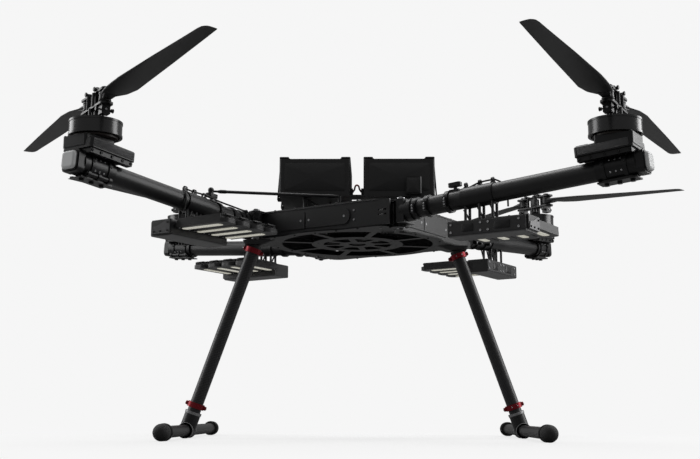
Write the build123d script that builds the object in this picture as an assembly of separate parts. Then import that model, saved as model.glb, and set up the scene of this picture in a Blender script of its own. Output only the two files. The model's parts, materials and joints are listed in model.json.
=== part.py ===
from build123d import *
import math
import os

os.makedirs("parts", exist_ok=True)

# Heavy-lift folding quadcopter. Millimetres, +Z up. The origin is the centre of the payload bolt
# circle on the underside of the bottom plate, and -Y is the front of the aircraft.
# The airframe is a pinwheel: each arm is modelled once along +X and turned in steps of 90 degrees.

# Overall layout
ARMS = ["front_right", "rear_right", "rear_left", "front_left"]
motor_spacing = 1000.0  # side of the square through the four motor axes
arm_bearing = -32.0  # bearing of the front right arm's tube
ground_z = -450.0  # level of the floor that the skids stand on
fit = 0.3  # gap between neighbouring bodies
running = 0.05  # radial clearance of a pin or shaft in its bore

# Arm tube and the line that it follows
arm_root_inset = 5.0  # how far the arm root lies inboard of the hinge
arm_root_z = 30.0
arm_rise = 4.44  # degrees
tube_r = 20.0
tube_wall = 2.0
tube_start = 22.0  # stations along the tube count from the arm root
tube_overhang = 42.6  # how far the tube runs past the motor's axis

# Fold hinge of an arm
hinge_reach = 17.0  # how far the hinge stands out from a side plate's face
hinge_inset = 43.0  # how far it lies in from the corner along that face
pin_r = 5.0
pin_head_rim = 4.0
pin_head = 2.0
knuckle_wall = 10.0
knuckle_reach = 27.0  # from the hinge to the knuckle's outer face
collar_wall = 4.0
collar_end = 46.0
cheek_depth = 28.0  # how far the knuckle's cheek reaches across from the hinge towards the tube

# Bands, clips and the lock knob on an arm
band_stations = (56.0, 84.0, 132.0)
band_width = 9.0
band_wall = 3.5
clip_sleeve = (165.0, 236.0)
clip_sleeve_wall = 2.5
clip_stations = (172.0, 204.0, 233.0)
clip_loop_r = 5.5
clip_wire = 1.6
clip_loop_width = 5.0
clip_foot = (8.0, 10.0, 3.0)
knob_station = 147.0
knob_size = (28.0, 16.0, 8.0)
knob_base = (22.0, 18.0, 8.0)
knob_post_r = 4.0
knob_rise = 10.0

# Arm end: clamp, bracket, controller pod and navigation light
clamp_length = 79.0
clamp_wall = 4.5
clamp_rib = 2.5
clamp_rib_width = 8.0
end_housing = (16.0, 44.0)  # thickness and side of the square housing behind the lamp
bracket_gap = 4.0  # between the clamp and the underside of the roller bracket
bracket_thickness = 3.0
bracket_width = 32.0
bracket_cheek = 4.0
roller_r = 5.0
rail_r = 4.5
rail_collar_r = 6.5
rail_length = 66.0
rail_collar = 7.0
pod_length = 115.0
pod_width = 80.0
pod_levels = (16.7, 26.7, 46.7)  # above the tube's axis: the ledge, the body's underside and its top
pod_ledge_inset = 4.0
pod_inset = 10.0  # how far the pod's middle lies inboard of the motor's axis
pod_tab = (24.0, 28.0, 8.0)  # length, width and height of the tab on top of its root end
pod_tab_reach = 3.0
light_size = 35.0
light_depth = 9.0

# Motor
motor_seat_z = 126.0  # level of the seat that the motor stands on
motor_seat_depth = 22.0
seat_x = (-30.0, 46.0)  # the seat's two ends and two sides, from the motor's axis
seat_y = (-40.0, 24.0)
stator_base_inset = 7.5
stator_base = 4.0
bell_r = 50.5
bell_wall = 4.0
bell_height = 30.0
bell_cap = 4.0
rim_width = 4.0
rim_step = 1.0
stator_gap = 0.8
stator_slots = 18
stator_slot = (18.0, 5.0)
bearing_tube_r = 14.0
cap_windows = 6
cap_window = (24.0, 13.0)
cap_window_circle = 30.0
shaft_r = 5.0
mast_post_r = 3.5
mast_circle = 13.5  # radius of the circle of posts between the can and the hub

# Rotor hub and blades
rotor_plane_z = 200.0
rotor_r = 483.0
pivot_offset = 42.0
hub_plate = 4.0
hub_length = 124.0
hub_width = 26.0
hub_cheek = (9.0, 60.0)  # the two ends of the short plate over a blade's root
grip_clearance = 3.0  # above and below a blade's grip in the hub
hub_post_r = 3.5
hub_post_spacing = (28.0, 24.0)
hub_head = (6.0, 7.0)  # height and radius of the round head on the mast
hinge_block = (17.0, 17.0, 18.0)  # hangs under each end of the hub's lower plate
cross_pin = (1.8, 30.0)  # radius and length of the pin across a hinge block
cross_knob = (3.6, 4.0)  # radius and length of the knob at each of its ends
pivot_r = 4.0
pivot_head = (4.0, 3.5)  # height of the pivot bolt's head and how far it stands out
grip_height = 18.0
grip_width = 24.0
# Bearing of each rotor's first blade at rest, in the order of ARMS, and which way each turns
blade_bearings = (-118.2, -50.0, -115.5, -54.5)
turns_clockwise = (False, True, False, True)
blade_lags = (-1.2, 0.0, 0.0, -2.7)  # degrees that each second blade trails the first one's line
blade_droops = (0.0, 5.2, 3.0, -0.5)  # degrees that the blades hang below level at rest
# Blade stations: share of the rotor radius, leading edge, trailing edge, thickness, pitch
blade_stations = (
    (0.132, 16.0, -16.0, 9.0, 3.0),
    (0.180, 20.0, -27.0, 8.5, 4.0),
    (0.260, 22.0, -34.0, 7.5, 5.0),
    (0.340, 23.5, -33.0, 6.6, 5.0),
    (0.620, 20.0, -23.5, 4.4, 3.5),
    (0.965, 13.8, -14.5, 2.8, 2.0),
    (1.000, 8.0, -13.5, 2.4, 2.0),
)

# Light panel under an arm
driver_reach = (135.0, 308.0)  # from the arm root to its two ends
driver_side = (-19.0, 39.0)  # from the tube's axis to its two sides
panel_z = (-38.0, -5.0)
driver_round = 4.0
module_count = 4
module_pitch = 45.7
module_width = 42.0
module_gap = 5.0  # between the driver and the modules
module_length = 130.0
module_face_z = -23.0
fin_count = 11
fin_thickness = 2.0
fin_height = 9.0
fin_ends = (3.0, 12.0)  # how far the fins stop short of the module's two ends
module_round = 14.0
module_set_back = 8.0  # how far the row of modules sits inboard of the driver's middle
tongue_inset = 8.0
tongue_lift = (2.0, 8.0)  # above the modules' lit face
end_bracket = 4.0
end_bracket_inset = (6.0, 4.0)
hanger_r = 3.0
hanger_stations = (172.0, 204.0, 233.0)
hanger_half_gap = 10.0
hanger_lean = 20.0

# Stay that holds an arm open
stay_root = (128.0, 34.0)
stay_clearance = 3.2  # between the lock knob and the stay's disc
stay_rise = 5.0
stay_r = 2.5
stay_post_r = 4.0
stay_disc_r = 6.0
stayed_arms = (1, 3)  # the two arms that have a stay

# Centre plates
bottom_plate = 3.0
side_half = 188.0  # outer face of a side plate
side_plate = 4.0
side_height = 55.0
side_gap = 3.0  # between the side plate's end and the hinge axis
wheel_overhang = 16.0  # how far the round bottom plate stands out beyond the side plates
outer_petals = (108.0, 178.0)  # inner and outer radius of each ring of openings
inner_petals = (42.0, 80.0)
petal_count = 8
petal_web = 15.0
ear_rim = 1.0  # how far a hinge ear stands out beyond the knuckle
payload_bore_r = 20.0
payload_holes = 8
payload_hole_r = 2.2
payload_ring = 6.0
payload_nut_r = 4.0  # room for a nut in the ring over each payload hole
top_opening_r = 60.0
pad_length = 117.0
pad_height = 36.0
pad_thickness = 2.5
pad_start = -135.0
pad_seam = 3.0
slot_inset = 14.0
slot_length = 20.0
slot_height = 4.0
slot_spacing = 10.0

# Batteries and their tray
tray_z = 96.0
tray_plate = 4.0
tray_post_r = 5.0
tray_post_x = 120.0
tray_post_y = 78.0
battery_size = (164.0, 200.0, 87.0)
battery_gap = 30.0
battery_round = 6.0
rail_width = 24.0
rail_height = 2.5
strap_width = 26.0
strap_thickness = 1.5
strap_lean = 6.0
module_x = (112.0, 148.0)
module_height = 40.0
tray_window = (80.0, 120.0)
tray_brace_r = 2.0
tray_brace = (0.55, 0.95)  # the brace's foot and head, as shares of the post's distance from the middle
flight_box = (120.0, 84.0, 40.0)
flight_sockets = (28.0, 20.0, 6.0)
flight_socket_x = 30.0
module_thickness = 8.0
module_plug = (8.0, 4.0, 6.0)  # inset of the plug behind the module, its depth and its inset in height

# Landing gear
leg_reach = 49.0  # how far the top of a leg stands out from the side plates' face
leg_offset = 44.0
leg_drop = 9.0
leg_foot_x = 385.0
leg_r = 15.0
skid_r = 12.5
skid_length = 676.0
foot_wall = 5.0
foot_length = 30.0
clamp_ring_wall = 4.5
clamp_ring = 12.0
clamp_ends = (8.0, 64.6)  # from the top of a leg to its upper ring and from its foot to the lower one
tee_wall = 4.5
tee_length = 52.0
tee_socket = 40.0
socket_wall = 3.0
shoe_top = (78.0, 62.0, 8.0)  # length, width and corner radius under the plate
shoe_foot = (46.0, 46.0, 8.0)
shoe_shift = 12.0
clamp_lug = (12.0, 10.0)

# Antennas under the front edge
antenna_x = 89.0
antenna_inset = 10.0
antenna_reach = (6.0, 32.0)
antenna_z = (-1.2, -2.4)
antenna_r = (1.0, 2.0)  # whip and ball tip

# Derived places and radii
arm_root_x = side_half + hinge_reach - arm_root_inset
hinge_x = side_half + hinge_reach
hinge_y = hinge_inset - side_half
knuckle_r = pin_r + knuckle_wall
knuckle_end = hinge_x + knuckle_reach
pin_head_r = pin_r + pin_head_rim
ear_r = knuckle_r + ear_rim
wheel_r = side_half + wheel_overhang
collar_r = tube_r + collar_wall
band_r = tube_r + band_wall
clip_sleeve_r = tube_r + clip_sleeve_wall
clamp_r = tube_r + clamp_wall
clamp_rib_r = clamp_r + clamp_rib
bracket_drop = clamp_r + bracket_gap
motor_reach = motor_spacing / math.sqrt(2)
motor_bearing = -45.0 - arm_bearing
motor_x = motor_reach * math.cos(math.radians(motor_bearing))
motor_y = motor_reach * math.sin(math.radians(motor_bearing))
tube_end = (motor_x - arm_root_x) / math.cos(math.radians(arm_rise)) + tube_overhang
clamp_start = tube_end - clamp_length
driver_x = (arm_root_x + driver_reach[0], arm_root_x + driver_reach[1])
driver_y = (motor_y + driver_side[0], motor_y + driver_side[1])
module_y = (driver_y[1] + module_gap, driver_y[1] + module_gap + module_length)
stator_base_r = bell_r - stator_base_inset
hub_gap = grip_height + 2 * grip_clearance
payload_pcd = inner_petals[1] + outer_petals[0]
top_plate_z = bottom_plate + side_height
top_z = top_plate_z + bottom_plate
battery_spread = (battery_size[0] + battery_gap) / 2
leg_top = (side_half + leg_reach, leg_offset, -leg_drop)
foot_r = skid_r + foot_wall
clamp_ring_r = leg_r + clamp_ring_wall
knob_top = knob_station * math.sin(math.radians(arm_rise)) + tube_r + knob_rise + knob_size[2]
stay_z = arm_root_z + knob_top + stay_clearance + stay_r
tee_r = skid_r + tee_wall
skid_z = ground_z + foot_r
leg_length = math.hypot(leg_foot_x - leg_top[0], leg_top[2] - skid_z)
clamp_places = (clamp_ends[0], leg_length - clamp_ends[1])
bell_z = motor_seat_z + stator_base
bell_top = bell_z + bell_height
pod_station = (motor_x - arm_root_x) / math.cos(math.radians(arm_rise)) - pod_inset


def block(x0, x1, y0, y1, z0, z1):
    """A box between two opposite corners."""
    centre = Pos((x0 + x1) / 2, (y0 + y1) / 2, (z0 + z1) / 2)
    return centre * Box(x1 - x0, y1 - y0, z1 - z0)


def post(x, y, z0, z1, r):
    """An upright cylinder."""
    return Pos(x, y, (z0 + z1) / 2) * Cylinder(r, z1 - z0)


def pipe(x, y, z0, z1, outer, inner):
    """An upright tube."""
    return post(x, y, z0, z1, outer) - post(x, y, z0 - 1, z1 + 1, inner)


def rod(start, end, r):
    """A round bar between two points."""
    a = Vector(*start)
    b = Vector(*end)
    plane = Plane(origin=(a + b) / 2, z_dir=b - a)
    return plane.location * Cylinder(r, (b - a).length)


def sheet(outline, z0, z1):
    """A flat plate with the given outline."""
    return extrude(Pos(0, 0, z0) * outline, z1 - z0)


def solids_of(*shapes):
    """All solids of the shapes, one after another."""
    found = []
    for shape in shapes:
        found += shape.solids()
    return found


def save(name, *shapes):
    """Write one sub-part; its separate solids stay separate."""
    solids = solids_of(*shapes)
    export_step(solids[0] if len(solids) == 1 else Compound(solids), f"parts/{name}.step")


def turned(k, *shapes):
    """Pieces of the arm modelled along +X, moved to arm k."""
    return [Rot(0, 0, arm_bearing + 90 * k) * shape for shape in shapes]


def pinwheel(shape):
    """Four copies of a piece, one for each side of the airframe."""
    return [Rot(0, 0, arm_bearing + 90 * k) * shape for k in range(len(ARMS))]


def tube_frame():
    """Frame at the arm root: X runs out along the tube's axis, Y across and Z up."""
    return Location((arm_root_x, motor_y, arm_root_z), (0, -arm_rise, 0))


def along(t0, t1, r):
    """A cylinder on the tube's axis between two stations."""
    return tube_frame() * Pos((t0 + t1) / 2, 0, 0) * Rot(0, 90, 0) * Cylinder(r, t1 - t0)


def collar(t0, t1, r):
    """A ring that sits on the tube."""
    return along(t0, t1, r) - along(t0 - 1, t1 + 1, tube_r)


def on_tube(shape):
    """A piece modelled about the tube's own axis, put in its place."""
    return tube_frame() * shape


# ---------------------------------------------------------------- arm
def arm_tube():
    return along(tube_start, tube_end, tube_r) - along(tube_start - 1, tube_end + 1, tube_r - tube_wall)


def arm_knuckle():
    """Hinge barrel with a block and a collar that hold the tube's root."""
    z0 = bottom_plate + fit
    z1 = top_plate_z - fit
    barrel = post(hinge_x, hinge_y, z0, z1, knuckle_r)
    cheek = block(hinge_x + 9, knuckle_end, motor_y - tube_r - 2, hinge_y + cheek_depth / 2, z0 + 2, z1 - 2)
    socket = along(tube_start, collar_end, collar_r)
    knuckle = barrel + cheek + socket
    knuckle -= post(hinge_x, hinge_y, z0 - 1, z1 + 1, pin_r + running)
    return knuckle - along(tube_start, collar_end + 1, tube_r)


def arm_band(t):
    """Split band with its screw lug at the side."""
    ring = along(t - band_width / 2, t + band_width / 2, band_r)
    lug = on_tube(Pos(t, -band_r - 1, -4) * Box(band_width - 1, 8, 20))
    return ring + lug - along(t - band_width, t + band_width, tube_r)


def lock_knob():
    """Swing handle on a short post."""
    length, width, height = knob_size
    foot = Pos(knob_station, 0, tube_r + knob_rise / 2 - 1) * Cylinder(knob_post_r, knob_rise + 2)
    base = Pos(knob_station, 0, tube_r - 1) * Box(*knob_base)
    handle = Pos(knob_station, 0, tube_r + knob_rise + height / 2) * Box(length, width, height)
    handle = fillet(handle.edges().filter_by(Axis.Z), 5)
    knob = on_tube(foot + base + handle)
    return knob - along(knob_station - length, knob_station + length, tube_r)


def cable_clip(t):
    """Wire loop that stands on the sleeve."""
    centre = Pos(t, 0, clip_sleeve_r + clip_loop_r) * Rot(0, 90, 0)
    eye = Cylinder(clip_loop_r - clip_wire, clip_loop_width + 2)
    loop = centre * (Cylinder(clip_loop_r, clip_loop_width) - eye)
    foot = Pos(t, 0, clip_sleeve_r) * Box(*clip_foot)
    clip = on_tube(loop + foot)
    return clip - along(t - clip_foot[0], t + clip_foot[0], clip_sleeve_r)


def arm_fittings():
    bands = [arm_band(t) for t in band_stations]
    clips = [cable_clip(t) for t in clip_stations]
    return [arm_knuckle(), collar(*clip_sleeve, clip_sleeve_r), lock_knob()] + bands + clips


def tube_height(x):
    """Height of the tube's axis above a point of the arm."""
    return arm_root_z + (x - arm_root_x) * math.tan(math.radians(arm_rise))


def end_clamp():
    """Long round clamp with two raised ribs, closed by a square end housing."""
    thickness, side = end_housing
    housing = Pos(tube_end + thickness / 2, 0, 0) * Box(thickness, side, side)
    body = along(clamp_start, tube_end, clamp_r) + on_tube(fillet(housing.edges().filter_by(Axis.X), 9))
    for t in (clamp_start + 16, tube_end - 20):
        body += along(t - clamp_rib_width / 2, t + clamp_rib_width / 2, clamp_rib_r)
    return body - along(clamp_start - 1, tube_end, tube_r)


def controller_pod():
    """Speed controller housing on the clamp: a ledge, the body on it, a tab and the motor's level seat."""
    ledge_z, low, high = pod_levels
    body = Pos(pod_station, 0, (low + high) / 2) * Box(pod_length, pod_width, high - low)
    body = fillet(body.edges().filter_by(Axis.Z), 6)
    body = chamfer(body.faces().sort_by(Axis.Z)[-1].edges(), 2)
    ledge_size = [size - 2 * pod_ledge_inset for size in (pod_length, pod_width)]
    ledge = Pos(pod_station, 0, (ledge_z + low) / 2) * Box(*ledge_size, low - ledge_z)
    length, width, height = pod_tab
    tab_t = pod_station - pod_length / 2 - pod_tab_reach + length / 2
    tab = Pos(tab_t, 0, high) * Box(length, width, 2 * height)
    sides = [motor_x + seat_x[0], motor_x + seat_x[1], motor_y + seat_y[0], motor_y + seat_y[1]]
    seat = block(*sides, motor_seat_z - motor_seat_depth, motor_seat_z)
    pod = on_tube(body + ledge + tab) + fillet(seat.edges().filter_by(Axis.Z), 5)
    housing = Pos(tube_end + end_housing[0] / 2, 0, 0) * Box(*end_housing, end_housing[1])
    return pod - on_tube(housing) - along(clamp_start - 40, tube_end + 40, clamp_rib_r)


def roller_bracket():
    """Plate under the clamp with two cheeks and a row of bolts."""
    low = -bracket_drop
    mid = (clamp_start + tube_end) / 2
    length = tube_end - clamp_start
    plate = Pos(mid, 0, low + bracket_thickness / 2) * Box(length, bracket_width, bracket_thickness)
    cheek_y = bracket_width / 2 - bracket_cheek
    cheek_height = bracket_drop - clamp_r + 8
    cheek = Box(length - 20, bracket_cheek, cheek_height)
    cheeks = [Pos(mid, side * cheek_y, low + cheek_height / 2) * cheek for side in (-1, 1)]
    bracket = on_tube(plate + cheeks)
    bolts = [
        on_tube(Pos(t, 0, low - 2) * Cylinder(roller_r, 4))
        for t in (clamp_start + 14, mid, tube_end - 14)
    ]
    return [bracket - along(clamp_start - 9, tube_end + 9, clamp_rib_r)] + bolts + [side_rail(mid)]


def side_rail(mid):
    """Round rail with three collars along one cheek of the bracket."""
    seat = (0, bracket_width / 2 - 2 + rail_r, -bracket_drop + bracket_thickness + rail_r + 1)
    rail = Rot(0, 90, 0) * Cylinder(rail_r, rail_length)
    for t in (-rail_length / 2 + 6, 0, rail_length / 2 - 6):
        rail += Pos(t, 0, 0) * Rot(0, 90, 0) * Cylinder(rail_collar_r, rail_collar)
    rail -= Pos(0, -rail_r - rail_collar_r / 2, 0) * Box(rail_length + 2, rail_collar_r, 4 * rail_collar_r)
    return on_tube(Pos(mid, 0, 0) * Pos(*seat) * rail) - along(clamp_start - 9, tube_end + 9, clamp_rib_r)


def motor_mount():
    return [end_clamp(), controller_pod()] + roller_bracket()


def nav_light():
    """Rounded square lamp on the end cap."""
    t0 = tube_end + end_housing[0]
    lamp = Pos(t0 + light_depth / 2, 0, 0) * Box(light_depth, light_size, light_size)
    lamp = fillet(lamp.edges().filter_by(Axis.X), 8)
    lamp = fillet(lamp.faces().sort_by(Axis.X)[-1].edges(), 5)
    return on_tube(lamp)


def motor_base():
    """Base disc, wound core with its slots, and the bearing tube."""
    z0 = bell_z - stator_base
    core_r = bell_r - bell_wall - stator_gap
    core_z = (bell_z + 3, bell_top - bell_cap - 3)
    base = post(0, 0, z0, bell_z - 0.6, stator_base_r)
    core = Circle(core_r)
    for spot in PolarLocations(core_r - 8, stator_slots):
        core -= spot * Rectangle(*stator_slot)
    motor = base + sheet(core, *core_z) + post(0, 0, z0, core_z[1] + 1, bearing_tube_r)
    motor -= post(0, 0, z0 - 1, core_z[1] + 2, shaft_r + running)
    return Pos(motor_x, motor_y, 0) * motor


def motor_bell():
    """Turning can with rim rings, a spoked cap and the shaft."""
    can = pipe(0, 0, bell_z, bell_top, bell_r, bell_r - bell_wall)
    cap = post(0, 0, bell_top - bell_cap, bell_top, bell_r)
    for spot in PolarLocations(cap_window_circle, cap_windows):
        cap -= Pos(0, 0, bell_top - bell_cap / 2) * spot * Box(*cap_window, bell_cap + 2)
    bell = can + cap
    for z in (bell_z, bell_top - rim_width):
        bell += pipe(0, 0, z, z + rim_width, bell_r + rim_step, bell_r - bell_wall)
    bell += post(0, 0, bell_z - stator_base, bell_top, shaft_r)
    yoke_z = rotor_plane_z - hub_gap / 2 - hub_plate
    bell += post(0, 0, bell_top - 1, yoke_z, shaft_r)
    for spot in PolarLocations(mast_circle, 4, 45):
        bell += spot * post(0, 0, bell_top - 1, yoke_z, mast_post_r)
    return bell


# ---------------------------------------------------------------- rotor
def hub_frame():
    """Long lower plate, two short upper plates on posts, the mast and a hinge block under each end."""
    low = rotor_plane_z - hub_gap / 2
    high = rotor_plane_z + hub_gap / 2
    hub = sheet(SlotOverall(hub_length, hub_width), low - hub_plate, low)
    inner, outer = hub_cheek
    for side in (-1, 1):
        cheek = Pos(side * (inner + outer) / 2, 0) * RectangleRounded(outer - inner, hub_width - 2, 8)
        hub += sheet(cheek, high, high + hub_plate)
    for spot in GridLocations(*hub_post_spacing, 2, 2):
        hub += spot * post(0, 0, low - 1, high + 1, hub_post_r)
    head, head_r = hub_head
    hub += post(0, 0, low - 1, high + hub_plate, shaft_r)
    hub += Pos(0, 0, high + hub_plate) * fillet(Cylinder(head_r, 2 * head).edges().group_by(Axis.Z)[-1], 3)
    for side in (-1, 1):
        hub += Pos(side * pivot_offset, 0, 0) * hinge_hanger(low - hub_plate)
        hub -= post(side * pivot_offset, 0, low - hub_plate - 100, high + hub_plate + 1, pivot_r)
    return hub


def hinge_hanger(top):
    """Block under one end of the hub, crossed by a pin with a round knob at both ends."""
    height = hinge_block[2]
    rod_r, length = cross_pin
    knob_r, knob_length = cross_knob
    pin = Rot(90, 0, 0) * Cylinder(rod_r, length)
    for end in (-1, 1):
        pin += Pos(0, end * length / 2, 0) * Rot(90, 0, 0) * Cylinder(knob_r, knob_length)
    return Pos(0, 0, top - height / 2) * (Box(*hinge_block) + pin)


def pivot_bolt(side):
    """Bolt that a blade folds about, with a round head; its foot is in the hinge block."""
    low = rotor_plane_z - hub_gap / 2 - hub_plate - hinge_block[2]
    high = rotor_plane_z + hub_gap / 2 + hub_plate
    head, head_rim = pivot_head
    x = side * pivot_offset
    return post(x, 0, low, high, pivot_r) + post(x, 0, high, high + head, pivot_r + head_rim)


def blade_section(share, lead, trail, thickness, pitch):
    """Closed blade profile at one radius: a rounded nose, a cambered top and a flat underside."""
    chord = lead - trail
    nose = (lead, 0)
    crown = (lead - 0.35 * chord, 0.62 * thickness)
    tail = (trail, 0)
    belly = (lead - 0.40 * chord, -0.38 * thickness)
    profile = make_face(Wire([Spline(nose, crown, tail), Spline(tail, belly, nose)]))
    plane = Plane(origin=(share * rotor_r, 0, rotor_plane_z), x_dir=(0, 1, 0), z_dir=(1, 0, 0))
    return plane.location * Rot(0, 0, pitch) * profile


def blade(droop):
    """Root grip with an upright pivot hole, a neck, and the tapering twisted blade."""
    low = rotor_plane_z - grip_height / 2
    high = rotor_plane_z + grip_height / 2
    root_x = blade_stations[0][0] * rotor_r
    grip = post(pivot_offset, 0, low, high, grip_width / 2)
    neck = (grip_width - 6, grip_height - 4)
    span = root_x + 6 - pivot_offset
    grip += Pos(pivot_offset + span / 2, 0, rotor_plane_z) * Box(span, *neck)
    foil = loft([blade_section(*station) for station in blade_stations], ruled=True)
    pivot = Pos(pivot_offset, 0, rotor_plane_z)
    whole = pivot * Rot(0, droop, 0) * pivot.inverse() * (grip + foil)
    return whole - post(pivot_offset, 0, low - 1, high + 1, pivot_r + running)


# ---------------------------------------------------------------- light panel
def light_module(x):
    """One finned lamp body with a rounded outer end."""
    low, high = module_y
    base_top = panel_z[1] - fin_height
    body = block(x - module_width / 2, x + module_width / 2, low, high, module_face_z, base_top)
    outer = body.edges().filter_by(Axis.Z).group_by(Axis.Y)[-1]
    body = fillet(outer, module_round)
    step = (module_width - fin_thickness) / (fin_count - 1)
    start, stop = fin_ends
    for i in range(fin_count):
        x0 = x - module_width / 2 + i * step
        body += block(x0, x0 + fin_thickness, low + start, high - stop, base_top - 1, panel_z[1])
    return body


def light_panel():
    first = sum(driver_x) / 2 - module_set_back - module_pitch * (module_count - 1) / 2
    return [light_module(first + i * module_pitch) for i in range(module_count)]


def driver_box():
    """Power supply housing with a curved end bracket."""
    x0, x1 = driver_x
    y0, y1 = driver_y
    body = block(x0, x1, y0, y1, *panel_z)
    body = fillet(body.edges().filter_by(Axis.X), driver_round)
    tongue_z = [module_face_z + lift for lift in tongue_lift]
    tongue = block(x0 + tongue_inset, x1 - tongue_inset, y1 - 1, module_y[0], *tongue_z)
    inset, lift = end_bracket_inset
    bracket = block(x1, x1 + end_bracket, y0 + inset, y1, panel_z[0] + lift, panel_z[1])
    return body + tongue + bracket


def hanger(t):
    """Pair of posts from the tube's sleeve down to the panel, with a diagonal brace."""
    x = arm_root_x + t
    top = tube_height(x)
    near = motor_y - hanger_half_gap
    far = motor_y + hanger_half_gap
    pair = post(x, near, panel_z[1], top, hanger_r) + post(x, far, panel_z[1], top, hanger_r)
    low = (x, far, panel_z[1] + hanger_r)
    high = (x - hanger_lean, far, tube_height(x - hanger_lean) - 8)
    brace = rod(low, high, hanger_r - 1)
    hanging = pair + brace - along(t - 60, t + 20, clip_sleeve_r)
    return hanging.solids().sort_by(Axis.Z)[0:2]


def light_driver():
    pieces = [driver_box()]
    for t in hanger_stations:
        pieces += hanger(t)
    return pieces


# ---------------------------------------------------------------- airframe
def hinge_ear():
    """Tongue of a centre plate that reaches out over one hinge."""
    root = Pos(side_half - 20, hinge_y) * Rectangle(2 * ear_r, 2 * ear_r)
    reach = Pos((side_half + hinge_x) / 2 - 12, hinge_y) * Rectangle(hinge_x - side_half + 24, 2 * ear_r)
    return root + reach + Pos(hinge_x, hinge_y) * Circle(ear_r)


def centre_outline(round_r):
    """Square with rounded corners, widened by a disc and by the four hinge ears."""
    outline = RectangleRounded(2 * side_half + 4, 2 * side_half + 4, 24) + Circle(round_r)
    for k in range(len(ARMS)):
        outline += Rot(0, 0, 90 * k) * hinge_ear()
    for k in range(len(ARMS)):
        outline -= Rot(0, 0, 90 * k) * Pos(hinge_x, hinge_y) * Circle(pin_r)
    return outline


def petals(inner, outer, first_bearing):
    """Ring of openings between two radii, parted by straight webs."""
    opening = Circle(outer) - Circle(inner)
    for k in range(petal_count // 2):
        bearing = first_bearing + k * 360 / petal_count
        opening -= Rot(0, 0, bearing) * Rectangle(2 * outer + 2, petal_web)
    return opening


def centre_plates():
    base = centre_outline(wheel_r) - Circle(payload_bore_r)
    base -= petals(*outer_petals, 0)
    base -= petals(*inner_petals, 180 / petal_count)
    for spot in PolarLocations(payload_pcd / 2, payload_holes):
        base -= spot * Circle(payload_hole_r)
    lid = centre_outline(side_half) - Circle(top_opening_r)
    return sheet(base, 0, bottom_plate), sheet(lid, top_plate_z, top_z)


def side_plate_piece():
    """One side wall with two slots beside the hinge and a long pad in two halves, rounded at its ends."""
    x0 = -side_half + side_plate
    wall = block(x0, hinge_x - side_gap, -side_half, -side_half + side_plate, bottom_plate, top_plate_z)
    mid = bottom_plate + side_height / 2
    slot_x = side_half - slot_inset + slot_length / 2
    for z in (mid - slot_spacing / 2, mid + slot_spacing / 2):
        wall -= Pos(slot_x, -side_half + side_plate / 2, z) * Box(slot_length, 2 * side_plate, slot_height)
    y0 = -side_half - pad_thickness
    for i in range(2):
        x0 = pad_start + i * (pad_length + pad_seam)
        pad = block(x0, x0 + pad_length, y0, -side_half, mid - pad_height / 2, mid + pad_height / 2)
        round_end = pad.edges().filter_by(Axis.Y).group_by(Axis.X)[0 if i == 0 else -1]
        wall += fillet(round_end, 0.45 * pad_height)
    return wall


def hinge_pin():
    """Shoulder bolt through both ears."""
    pin = post(hinge_x, hinge_y, -pin_head, top_z + pin_head, pin_r)
    pin += post(hinge_x, hinge_y, -pin_head, 0, pin_head_r)
    return pin + post(hinge_x, hinge_y, top_z, top_z + 2 * pin_head, pin_head_r)


def arm_stay():
    """Round stay from a post on the top plate out to a disc that lies over the arm's lock knob."""
    x0, y0 = stay_root
    x1 = arm_root_x + knob_station * math.cos(math.radians(arm_rise))
    z0 = stay_z + stay_rise
    upright = post(x0, y0, top_z, z0 + 2, stay_post_r) + post(x0, y0, top_z, top_z + 3, 2 * stay_post_r)
    bar = rod((x0, y0, z0), (x1, motor_y, stay_z), stay_r)
    disc = post(x1, motor_y, stay_z - stay_r - 1, stay_z + stay_r, stay_disc_r)
    return upright + bar + disc


def payload_flange():
    """Ring that stiffens the payload bolt circle from above, open over each hole for a nut."""
    outer = outer_petals[0] - 2
    inner = inner_petals[1] + 2
    ring = pipe(0, 0, bottom_plate, bottom_plate + payload_ring, outer, inner)
    for spot in PolarLocations(payload_pcd / 2, payload_holes):
        ring -= spot * post(0, 0, bottom_plate - 1, bottom_plate + payload_ring + 1, payload_nut_r)
    return ring


def flight_controller():
    """Avionics housing on the bottom plate, with two small sockets on its lid."""
    length, width, height = flight_box
    z0 = bottom_plate
    box = block(-length / 2, length / 2, -width / 2, width / 2, z0, z0 + height)
    box = fillet(box.edges().filter_by(Axis.Z), 5)
    socket_length, socket_width, socket_height = flight_sockets
    for x in (-flight_socket_x, flight_socket_x):
        socket = Box(socket_length, socket_width, 2 * socket_height)
        box += Pos(x, 0, z0 + height) * socket
    return Rot(0, 0, arm_bearing) * box


def battery(side):
    """Battery pack with a raised rail along both sides of its top."""
    length, depth, height = battery_size
    x = side * battery_spread
    z0 = tray_z + tray_plate
    pack = block(x - length / 2, x + length / 2, -depth / 2, depth / 2, z0, z0 + height - rail_height)
    pack = fillet(pack.edges().filter_by(Axis.Z), battery_round)
    for end in (-1, 1):
        rail_x = x + end * (length - rail_width) / 2
        rail = Box(rail_width, depth - 2 * battery_round, 2 * rail_height)
        pack += Pos(rail_x, 0, z0 + height - rail_height) * rail
    return pack


def battery_tray():
    """Tray plate on four posts with diagonal braces and two upright stops."""
    length, depth, _ = battery_size
    half_x = battery_spread + length / 2
    z1 = tray_z + tray_plate
    plate = block(-half_x, half_x, -depth / 2, depth / 2, tray_z, z1)
    plate -= Pos(0, 0, tray_z) * Box(*tray_window, 4 * tray_plate)
    pieces = [plate]
    for x in (-tray_post_x, tray_post_x):
        for y in (-tray_post_y, tray_post_y):
            leg = post(x, y, top_z, tray_z, tray_post_r)
            foot, head = tray_brace
            low = (x * foot, y, top_z + tray_brace_r + 0.2)
            brace = rod(low, (x * head, y, tray_z - tray_brace_r - 1), tray_brace_r)
            pieces.append(leg + brace)
    return pieces


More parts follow.
